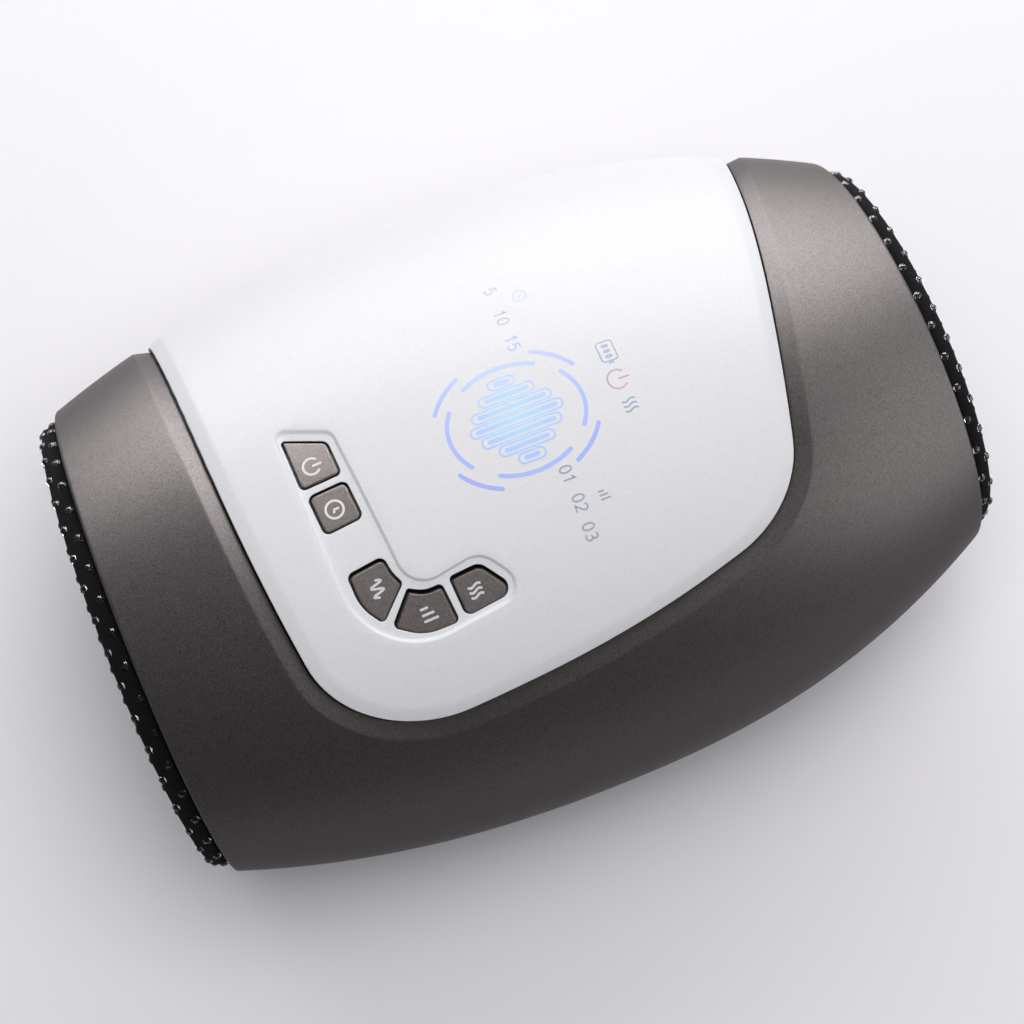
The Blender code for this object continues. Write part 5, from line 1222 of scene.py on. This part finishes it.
def swell(cuff, held):
    """Let air inside push the cloth out between its held points for some frames, then keep the shape that it
    has taken, with no point moved further than a cap."""
    rest = np.empty(len(cuff.data.vertices) * 3)
    cuff.data.vertices.foreach_get("co", rest)
    pinned = cuff.vertex_groups.new(name="held")
    pinned.add(np.flatnonzero(held).tolist(), 1.0, "REPLACE")
    settings = cuff.modifiers.new("air", "CLOTH").settings
    settings.vertex_group_mass = "held"
    settings.use_pressure = True
    settings.uniform_pressure_force = CUFF_PRESSURE
    settings.effector_weights.gravity = 0
    for number in range(1, CUFF_FRAMES + 1):
        bpy.context.scene.frame_set(number)
    blown = np.empty(len(rest))
    evaluated = cuff.evaluated_get(bpy.context.evaluated_depsgraph_get())
    evaluated.data.vertices.foreach_get("co", blown)
    move = (blown - rest).reshape(-1, 3)
    reach = np.linalg.norm(move, axis=1)
    move *= np.minimum(1, CUFF_SWELL / np.maximum(reach, 1e-9))[:, None]
    cuff.modifiers.clear()
    cuff.vertex_groups.clear()
    cuff.data.vertices.foreach_set("co", rest + move.ravel())
    cuff.data.update()
    bpy.context.scene.frame_set(1)


def knit_group():
    """Knitted cloth: in each stitch two legs of yarn lean together into a V, and the rows overlap."""
    tree, given, put = effect("knit", {"Fuzz": 0.2}, ("Height",))
    weave = add(tree, "ShaderNodeUVMap", uv_map="weave").outputs[0]
    place = add(tree, "ShaderNodeSeparateXYZ", {0: weave}).outputs
    across = maths(tree, "FRACT", place["X"])
    aside = maths(tree, "ABSOLUTE", maths(tree, "SUBTRACT", across, 0.5))
    leg = maths(tree, "ABSOLUTE", maths(tree, "SINE", maths(tree, "MULTIPLY", across, math.tau)))
    row = maths(tree, "FRACT", maths(tree, "ADD", aside, place["Y"]))
    row = maths(tree, "SINE", maths(tree, "MULTIPLY", row, math.pi))
    yarn = maths(tree, "MULTIPLY", leg, row)
    give(tree, put["Height"], maths(tree, "MULTIPLY_ADD", noise(tree, 3500.0, 3.0), given["Fuzz"], yarn))
    return tree


def lay_weave(made, columns, stitches, rows_down):
    """A UV map counted in stitches round a closed grid and rows of them down it, unbroken at the seams."""
    corner = np.empty(len(made.data.loops), int)
    made.data.loops.foreach_get("vertex_index", corner)
    grid = np.stack([corner % columns, corner // columns], -1).reshape(-1, 4, 2)
    size = np.array([columns, len(made.data.vertices) // columns])
    grid = grid + size * (grid < grid.max(1, keepdims=True) - size / 2)
    layer = made.data.uv_layers.new(name="weave")
    layer.data.foreach_set("uv", (grid / size * (stitches, rows_down)).astype(np.float32).ravel())


knit_cloth = finish(
    "knit_cloth", Roughness=0.9, Specular_IOR_Level=0.04, Sheen_Weight=0.02, Sheen_Roughness=0.5,
)
stitches = use(knit_cloth.node_tree, knit_group(), {"Fuzz": 0.35})["Height"]
# The yarn is darker where the knit is low: painted shade in the hollows between legs and rows, mottled by the
# fuzz.
yarn_shaded_hollows = shade(knit_cloth.node_tree, stitches, (0.003, 0.0027, 0.003), (0.013, 0.012, 0.013))
feed(knit_cloth, stitches, STITCH_RELIEF, Base_Color=yarn_shaded_hollows)
clear_silicone = finish(
    "clear_silicone", Base_Color=(0.86, 0.88, 0.90), Roughness=0.12, IOR=1.41, Transmission_Weight=1.0,
)

for side, (mouth_at, way) in mouths.items():
    surface = cuff_surface(mouth_at, way)
    wheres = np.linspace(0, len(cuff_section) - 1, CUFF_STEPS)
    points, faces = torus(surface(around, wheres[:, None]))
    cuff = piece(f"{side}_padded_cuff", (points, faces), knit_cloth)
    girth = np.linalg.norm(np.diff(surface(around, np.float64(FULLEST_AT)), axis=0), axis=1).sum()
    lay_weave(cuff, AROUND, round(girth / STITCH_WIDTH), CUFF_SECTION_LENGTH / STITCH_ROW)
    here, normal, over = surface_frame(surface, *dot_grid(surface, DOT_ROWS))
    clamped = np.repeat((wheres < CLAMPED_TO) | (wheres > SEWN_FROM), AROUND)
    swell(cuff, clamped | (nearest(points, here) < DOT_RADIUS))
    dress(cuff, f"{side}_cuff")
    dress(piece(f"{side}_grip_dots", domes(here, normal * way, over), clear_silicone))


# Lining: a tube of the same black knit through the hand tunnel, sewn to a cuff at each end.
# It is a low oval over the palm, which eases out to the cuffs.
TUNNEL_HALF_WIDTH = HALF_WIDTH * 0.595
TUNNEL_LEVEL = CROWN * 0.566
TUNNEL_OVER = CROWN * 0.1887
TUNNEL_UNDER = CROWN * 0.1226
TUNNEL_STRAIGHT = LENGTH * 0.3238
LINING_STEPS = 90
LINING_THICK = 0.0012
KNIT_GIRTH = 0.300
KNIT_LENGTH = 0.190


def eased(share):
    share = np.clip(share, 0, 1)
    return share * share * (3 - 2 * share)


def tunnel(turn, along, depth=0.0):
    """The lining: a low oval over the palm that eases out to the cuffs past the straight part."""
    turn, along = np.broadcast_arrays(turn, along)
    opening = (np.abs(along) - TUNNEL_STRAIGHT) / (WIDE_REACH - CUFF_REACH_IN - TUNNEL_STRAIGHT)
    up = np.where(np.cos(turn) > 0, TUNNEL_OVER, TUNNEL_UNDER) - depth
    across = (TUNNEL_HALF_WIDTH - depth) * np.sin(turn)
    oval = np.stack([across, along, TUNNEL_LEVEL + up * np.cos(turn)], axis=-1)
    return oval + (skin(turn, along, LINING_INSET + depth) - oval) * eased(opening)[..., None]


def lining_rings():
    """Rings from cuff to cuff on the lining's outer side, and back along its inner side."""
    near = wide_mouth(around, LINING_INSET) + CUFF_REACH_IN + SEAT + SEAM
    far = narrow_mouth(around, LINING_INSET) - CUFF_REACH_IN - SEAT - SEAM
    shares = np.linspace(0, 1, LINING_STEPS)
    rings = [tunnel(around, near + (far - near) * share) for share in shares]
    return rings + [tunnel(around, near + (far - near) * share, LINING_THICK) for share in shares[::-1]]


lining = piece("tunnel_lining", torus(lining_rings()), knit_cloth)
lay_weave(lining, AROUND, round(KNIT_GIRTH / STITCH_WIDTH), 2 * KNIT_LENGTH / STITCH_ROW)
dress(lining, "sleeve")


# Feet: four rubber pads pressed into pockets in the base, each ringed with fine ribs to grip the table.
# A foot is a profile spun about its axis: ribbed below, rounded at its edge and flat on top.
FOOT_TOP = STANDING + FOOT_POCKET - SEAT
FOOT_RIB = 0.00025
FOOT_RIB_SPACING = 0.0022
FOOT_RIB_MARGIN = 0.0012
FOOT_CORNER = 0.0006
FOOT_FLAT_MARGIN = 0.0007
FOOT_CENTRE = 0.0004
TURNED_SIDES = 72

foot_rubber = grained_plastic(
    "foot_rubber", (0.020, 0.020, 0.020), (0.034, 0.033, 0.032), 0.00025, Roughness=0.82,
)
turning = np.linspace(0, math.tau, TURNED_SIDES, endpoint=False)


def turned(profile, place):
    """(points, faces) of a profile of (radius, height) pairs spun about an upright axis through a place."""
    radius, height = np.asarray(profile, float).T[..., None]
    x, y = place[0] + radius * np.cos(turning), place[1] + radius * np.sin(turning)
    return lathe(np.stack(np.broadcast_arrays(x, y, height), axis=-1))


def foot_profile():
    """Flat below with shallow grooves: the height is a rib's times the square of a sine of the radius."""
    radius = np.linspace(FOOT_CENTRE, FOOT_RADIUS - FOOT_FLAT_MARGIN, 60)
    grooved = (radius > FOOT_RIB_MARGIN) & (radius < FOOT_RADIUS - FOOT_RIB_MARGIN)
    below = np.column_stack([radius, FOOT_RIB * np.sin(radius * math.tau / FOOT_RIB_SPACING) ** 2 * grooved])
    up, inset = quarter(FOOT_CORNER, 7).T
    edge = np.column_stack([FOOT_RADIUS - inset, up])
    return [*below, *edge, (FOOT_RADIUS, FOOT_TOP), (FOOT_CENTRE, FOOT_TOP)]


for number, place in enumerate(four_places(FOOT_X, FOOT_Y), 1):
    foot = piece(f"rubber_foot_{number}", turned(foot_profile(), place), foot_rubber)
    dress(foot, f"foot_{number}")


# Screws: zinc-plated steel, pan heads with a cross recess; six join the casing and four hold the board.
# The casing's screws point up and the board's point down.
SCREW_HEAD_THICK = 0.0016
SCREW_PITCH = 0.0007
THREAD_DEPTH = 0.07
HEAD_DOME = SCREW_HEAD_THICK * 0.55
TIP_SHARE = 0.35
RECESS_WIDTH = 0.0006
RECESS_DEPTH = SCREW_HEAD_THICK * 0.55
RECESS_REACH = 0.55
RECESS_OVERRUN = 0.001
BOARD_LEFT = HALF_WIDTH * 0.4873
BOARD_RIGHT = HALF_WIDTH * 0.5
BOARD_NEAR = LENGTH * 0.2755
BOARD_FAR = LENGTH * 0.174
BOARD_THICK = CROWN * 0.0151
BOARD_SCREW = 0.0010
BOARD_SCREW_HEAD = 0.0018
BOARD_SCREW_LENGTH = 0.0040

# Where the board's screws stand, as shares of its reach each way from the middle
board_shares = ((-0.88, -0.90), (0.50, -0.66), (0.86, 0.90), (-0.88, 0.90))


def worn_metal(name, dark, light, roughness, scratch):
    """Bare metal: its tone and roughness drift slowly, and a fine grain tilts its normal."""
    made = finish(name, Metallic=1.0)
    tree = made.node_tree
    drift = noise(tree, 300.0, 4.0)
    rough = {"Value": drift, "To Min": roughness * 0.7, "To Max": roughness * 1.3}
    rough = add(tree, "ShaderNodeMapRange", rough).outputs[0]
    colour = shade(tree, drift, dark, light)
    return feed(made, noise(tree, 6000.0), scratch, Base_Color=colour, Roughness=rough)


def screw_shell(place, head, shaft, seat, tip, way):
    """A domed head, its height a circle's arc over its width, and a shaft whose radius waves as a thread."""
    crown = np.radians(np.linspace(8, 90, 8))
    dome = SCREW_HEAD_THICK - HEAD_DOME + HEAD_DOME * np.cos(crown)
    length = abs(seat - tip)
    down = np.linspace(0, length - shaft, int(length / SCREW_PITCH) * 6)
    thread = shaft * (1 - THREAD_DEPTH + THREAD_DEPTH * np.cos(down * math.tau / SCREW_PITCH))
    top = np.column_stack([head * np.sin(crown), seat - way * dome])
    body = np.column_stack([thread, seat + way * down])
    return turned([*top, (head, seat), *body, (shaft * TIP_SHARE, tip)], place)


def cross_recess(place, head, top, way):
    """Two crossed blocks sunk into the head from its top."""
    low, high = sorted((top - way * RECESS_OVERRUN, top + way * RECESS_DEPTH))
    x, y = place
    sizes = (RECESS_WIDTH / 2, head * RECESS_REACH), (head * RECESS_REACH, RECESS_WIDTH / 2)
    return [block((x - across, y - up, low), (x + across, y + up, high)) for across, up in sizes]


screw_steel = worn_metal("screw_steel", (0.46, 0.45, 0.42), (0.62, 0.61, 0.58), 0.30, 0.00001)
board_places = [
    (x * (BOARD_RIGHT if x > 0 else BOARD_LEFT), y * (BOARD_FAR if y > 0 else BOARD_NEAR))
    for x, y in board_shares
]
board_tip = BOARD_TOP - BOARD_THICK - BOARD_SCREW_LENGTH + SEAM
kinds = {
    "cover": (screw_places, SCREW_HEAD, SCREW_SHAFT, SCREW_SEAT - SEAT, SCREW_TIP, 1),
    "board": (board_places, BOARD_SCREW_HEAD, BOARD_SCREW, BOARD_TOP + SEAT, board_tip, -1),
}
for kind, (places, head, shaft, seat, tip, way) in kinds.items():
    for number, place in enumerate(places, 1):
        shell = screw_shell(place, head, shaft, seat, tip, way)
        screw = piece(f"{kind}_cross_screw_{number}", shell, screw_steel)
        for blade in cross_recess(place, head, seat - way * SCREW_HEAD_THICK, way):
            combine(screw, "DIFFERENCE", [blade])
        dress(screw, f"{kind}_screw_{number}")


# Air cells: bladders of grey film with a moulded spout, welded round their edge and in round spots.
# Two lie side by side over the heating film, and one under the massage plate, whose upper film rises with it.
FILM_THICK = 0.0004
FILM_HALF_WIDTH = HALF_WIDTH * 0.3544
BAG_REACH = LENGTH * 0.319
BAG_DIVIDE = LENGTH * 0.0628
BAG_SPOUT = 0.0026
BAG_SPOUT_BORE = 0.0012
BAG_ROOM = CROWN * 0.0425
BAG_THICK = CROWN * 0.0453
BAG_HALF_WIDTH = HALF_WIDTH * 0.4557
BAG_HALF_LENGTH = LENGTH * 0.2127
BAG_SHOULDER = 0.009
BAG_STEPS = 64
WELD_RIM = 0.0030
WELD_SPOT = 0.0030
WELD_THICK = 0.0007
WELD_ACROSS = 0.42
WELD_ALONG = (0.3, 0.7)
ROOF_HALF_WIDTH = HALF_WIDTH * 0.734
ROOF_THICK = CROWN * 0.0189
ROOF_RISE = TUNNEL_LEVEL + TUNNEL_OVER + BAG_ROOM + ROOF_THICK - LEVEL
SPOUT_X = HALF_WIDTH * -0.1266
SPOUT_INSET = LENGTH * 0.029
FRAME_THICK = CROWN * 0.0189
DRIVE_X = HALF_WIDTH * -0.396
MANIFOLD_MIDDLE = LENGTH * (-0.2417 + 0.1257 + 0.1257 + 0.0532 / 2) + SEAT + SEAT

bag_film = grained_plastic(
    "bag_film", (0.10, 0.105, 0.11), (0.17, 0.175, 0.18), 0.0008, Roughness=0.38, Coat_Weight=0.4,
    Coat_Roughness=0.2,
)


def air_cell(half_x, near, far, under, over):
    """A bladder between two heights (x, y): it fills them by the square root of the distance in from its rim
    and from each weld spot, and keeps only the thickness of two films at a weld."""
    across, along = np.linspace(-half_x, half_x, BAG_STEPS), np.linspace(near, far, BAG_STEPS)
    x, y = np.meshgrid(across, along, indexing="ij")
    rim = np.minimum(half_x - np.abs(x), np.minimum(y - near, far - y)) - WELD_RIM
    spots = [(side * half_x * WELD_ACROSS, near + (far - near) * at) for side in (-1, 1) for at in WELD_ALONG]
    spot = np.min([np.hypot(x - spot_x, y - spot_y) for spot_x, spot_y in spots], axis=0) - WELD_SPOT
    inward = np.clip(np.minimum(rim, spot) / BAG_SHOULDER, 0, 1)
    full = np.sqrt(inward * (2 - inward))
    low, high = under(x, y), over(x, y)
    middle, half = (low + high) / 2, np.maximum((high - low) / 2 * full, WELD_THICK / 2)
    points = np.concatenate([np.stack([x, y, z], -1).reshape(-1, 3) for z in (middle + half, middle - half)])
    grid, index = grid_faces(*x.shape, loop_columns=False), np.arange(x.size).reshape(x.shape)
    edge = np.concatenate([index[0, :-1], index[:-1, -1], index[-1, :0:-1], index[:0:-1, 0]])
    side = np.column_stack([edge, ahead_of(edge), ahead_of(edge) + x.size, edge + x.size])
    return points, [grid, grid[:, ::-1] + x.size, side[:, ::-1]]


def roof_height(x, gap):
    half = ROOF_HALF_WIDTH - ROOF_THICK
    return LEVEL + (ROOF_RISE - ROOF_THICK) * np.sqrt(1 - (x / half) ** 2) - gap


def over_lining(x, y):
    """Height of the lining's top over a point, plus the heating film's room."""
    turn = np.arcsin(np.clip(x / TUNNEL_HALF_WIDTH, -1, 1))
    return tunnel(turn, y)[..., 2] + SEAT + FILM_THICK + SEAT + SEAM


def under_roof(x, y):
    return roof_height(x, SEAT + SEAM)


bag_low = FRAME_FLOOR + FRAME_THICK + SEAT
spout_ends = TUNNEL_LEVEL + TUNNEL_OVER + BAG_ROOM * 0.4, roof_height(0, 0) + ROOF_THICK + SEAT

# Half width, near and far end, lower and upper face, and the spout's place and ends of each cell
cells = {
    "palm": (
        FILM_HALF_WIDTH, -BAG_REACH, BAG_DIVIDE - SEAT, over_lining, under_roof,
        (SPOUT_X, -BAG_REACH + SPOUT_INSET), spout_ends,
    ),
    "finger": (
        FILM_HALF_WIDTH, BAG_DIVIDE + SEAT, BAG_REACH, over_lining, under_roof,
        (SPOUT_X, BAG_REACH - SPOUT_INSET), spout_ends,
    ),
    "lower": (
        BAG_HALF_WIDTH, -BAG_HALF_LENGTH, BAG_HALF_LENGTH,
        lambda x, y: np.full(x.shape, bag_low), lambda x, y: np.full(x.shape, bag_low + BAG_THICK),
        (DRIVE_X, MANIFOLD_MIDDLE), (FRAME_FLOOR - SEAT, bag_low + BAG_THICK / 2),
    ),
}
for name, (half_x, near, far, under, over, spout, (low, high)) in cells.items():
    tube = turned([(BAG_SPOUT_BORE, low), (BAG_SPOUT, low), (BAG_SPOUT, high), (BAG_SPOUT_BORE, high)], spout)
    cell = piece(f"{name}_air_cell", [air_cell(half_x, near, far, under, over), tube], bag_film)
    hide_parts(f"{name}_airbag")
    if name == "lower":
        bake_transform(cell)
    else:
        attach(cell, "casing")


# Key mat: a sheet of clear silicone on the control board, with a hollow dome under each key.
# Pressing a key flattens its dome, so each dome is a piece of its own, with a mesh of its own.
DOME_RADIUS = 0.0026
MAT_EDGE = 0.0002

# A dome's profile: radius and height, as shares of its own
dome_shares = ((1.0, -0.08), (1.0, 0.08), (0.92, 0.22), (0.70, 0.76), (0.62, 0.93), (0.56, 1.0), (0.1, 1.0))

mat_silicone = grained_plastic(
    "mat_silicone", (0.42, 0.44, 0.45), (0.50, 0.52, 0.53), 0.0005, Roughness=0.5,
)
mat_low, mat_top = BOARD_TOP + SEAT, BOARD_TOP + SEAT + MAT_THICK
mat_edges = (MAT_EDGE, mat_low), (0, mat_low + MAT_EDGE), (0, mat_top - MAT_EDGE), (MAT_EDGE, mat_top)
mat_rings = [
    at_height(plan_outline(island_corners, KEY_GAP + KEY_FLANGE + away), height) for away, height in mat_edges
]
dress(piece("key_mat_sheet", lathe(mat_rings), mat_silicone), "key_mat")
dome_profile = np.array(dome_shares) * (DOME_RADIUS, DOME_HEIGHT) + (0, mat_top)
for key, corners in key_corners.items():
    x, y = plan_outline(corners).mean(0)
    dome = piece(f"{key}_dome", turned(dome_profile, (x, y)), mat_silicone)
    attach(dome, "casing")
    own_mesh(dome)


# Inner parts that keep their moulded shapes: frames, plate, board, drive, battery and boards, each in the
# finish of what it is made of, from glassy green laminate to the blue shrink-wrap of the cells.
TRACK_HEIGHT = 0.00004
TRACK_GREEN = (0.05, 0.19, 0.08)

# Name, dark and light tone, roughness, grain and coat of each plastic, and the nodes made of it
plastics = (
    ("white_moulding", (0.66, 0.66, 0.64), (0.74, 0.74, 0.72), 0.45, 0.0004, 0,
     ("upper_frame", "lower_frame", "air_manifold")),
    ("light_box_white", (0.78, 0.78, 0.77), (0.84, 0.84, 0.83), 0.55, 0.0003, 0, ("light_box",)),
    ("drive_black", (0.018, 0.018, 0.019), (0.030, 0.030, 0.031), 0.5, 0.0004, 0,
     ("pump_head", "valve_body_1", "valve_body_2", "battery_tray", "buzzer")),
    ("plate_black", (0.022, 0.022, 0.024), (0.034, 0.034, 0.036), 0.38, 0.0002, 0, ("massage_plate",)),
    ("hose_silicone", (0.52, 0.54, 0.54), (0.62, 0.64, 0.64), 0.3, 0.0006, 0.3,
     ("palm_hose", "finger_hose", "lower_hose")),
    ("heater_amber", (0.30, 0.11, 0.012), (0.42, 0.18, 0.02), 0.25, 0.0010, 0.5, ("heater_film",)),
    ("cell_wrap", (0.010, 0.070, 0.30), (0.016, 0.095, 0.38), 0.28, 0.0012, 0.4,
     ("battery_cell_1", "battery_cell_2")),
    ("lead_red", (0.36, 0.012, 0.010), (0.46, 0.020, 0.016), 0.4, 0.0003, 0, ("battery_lead", "motor_lead")),
)

# Name, dark and light tone, roughness and scratch depth of each metal, and the nodes made of it
metals = (
    ("motor_steel", (0.40, 0.40, 0.41), (0.52, 0.52, 0.53), 0.34, 0.00002,
     ("pump_motor", "pump_rotor", "valve_plunger_1", "valve_plunger_2")),
    ("port_steel", (0.55, 0.55, 0.56), (0.68, 0.68, 0.68), 0.24, 0.00001, ("charge_port",)),
)


def board_laminate():
    """Green glass laminate: copper tracks show through the lacquer as paler bars on a fine weave."""
    made = finish("board_laminate", Roughness=0.35, Coat_Weight=0.5, Coat_Roughness=0.15)
    tree = made.node_tree
    bars = {"Vector": on_object(tree), "Scale": 260.0, "Mortar Size": 0.06}
    bars |= {"Brick Width": 0.9, "Row Height": 0.35}
    bars = add(tree, "ShaderNodeTexBrick", bars).outputs["Fac"]
    weave = shade(tree, noise(tree, 2500.0), (0.006, 0.060, 0.022), (0.012, 0.095, 0.036))
    return feed(made, bars, TRACK_HEIGHT, Base_Color=shade(tree, bars, weave, TRACK_GREEN))


looks = [(board_laminate(), ("control_board", "charge_board"))]
for name, dark, light, roughness, grain, coat, nodes in plastics:
    looks.append((grained_plastic(name, dark, light, grain, Roughness=roughness, Coat_Weight=coat), nodes))
for name, dark, light, roughness, scratch, nodes in metals:
    looks.append((worn_metal(name, dark, light, roughness, scratch), nodes))
for look, nodes in looks:
    for node in nodes:
        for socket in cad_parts[node].material_slots:
            socket.material = look
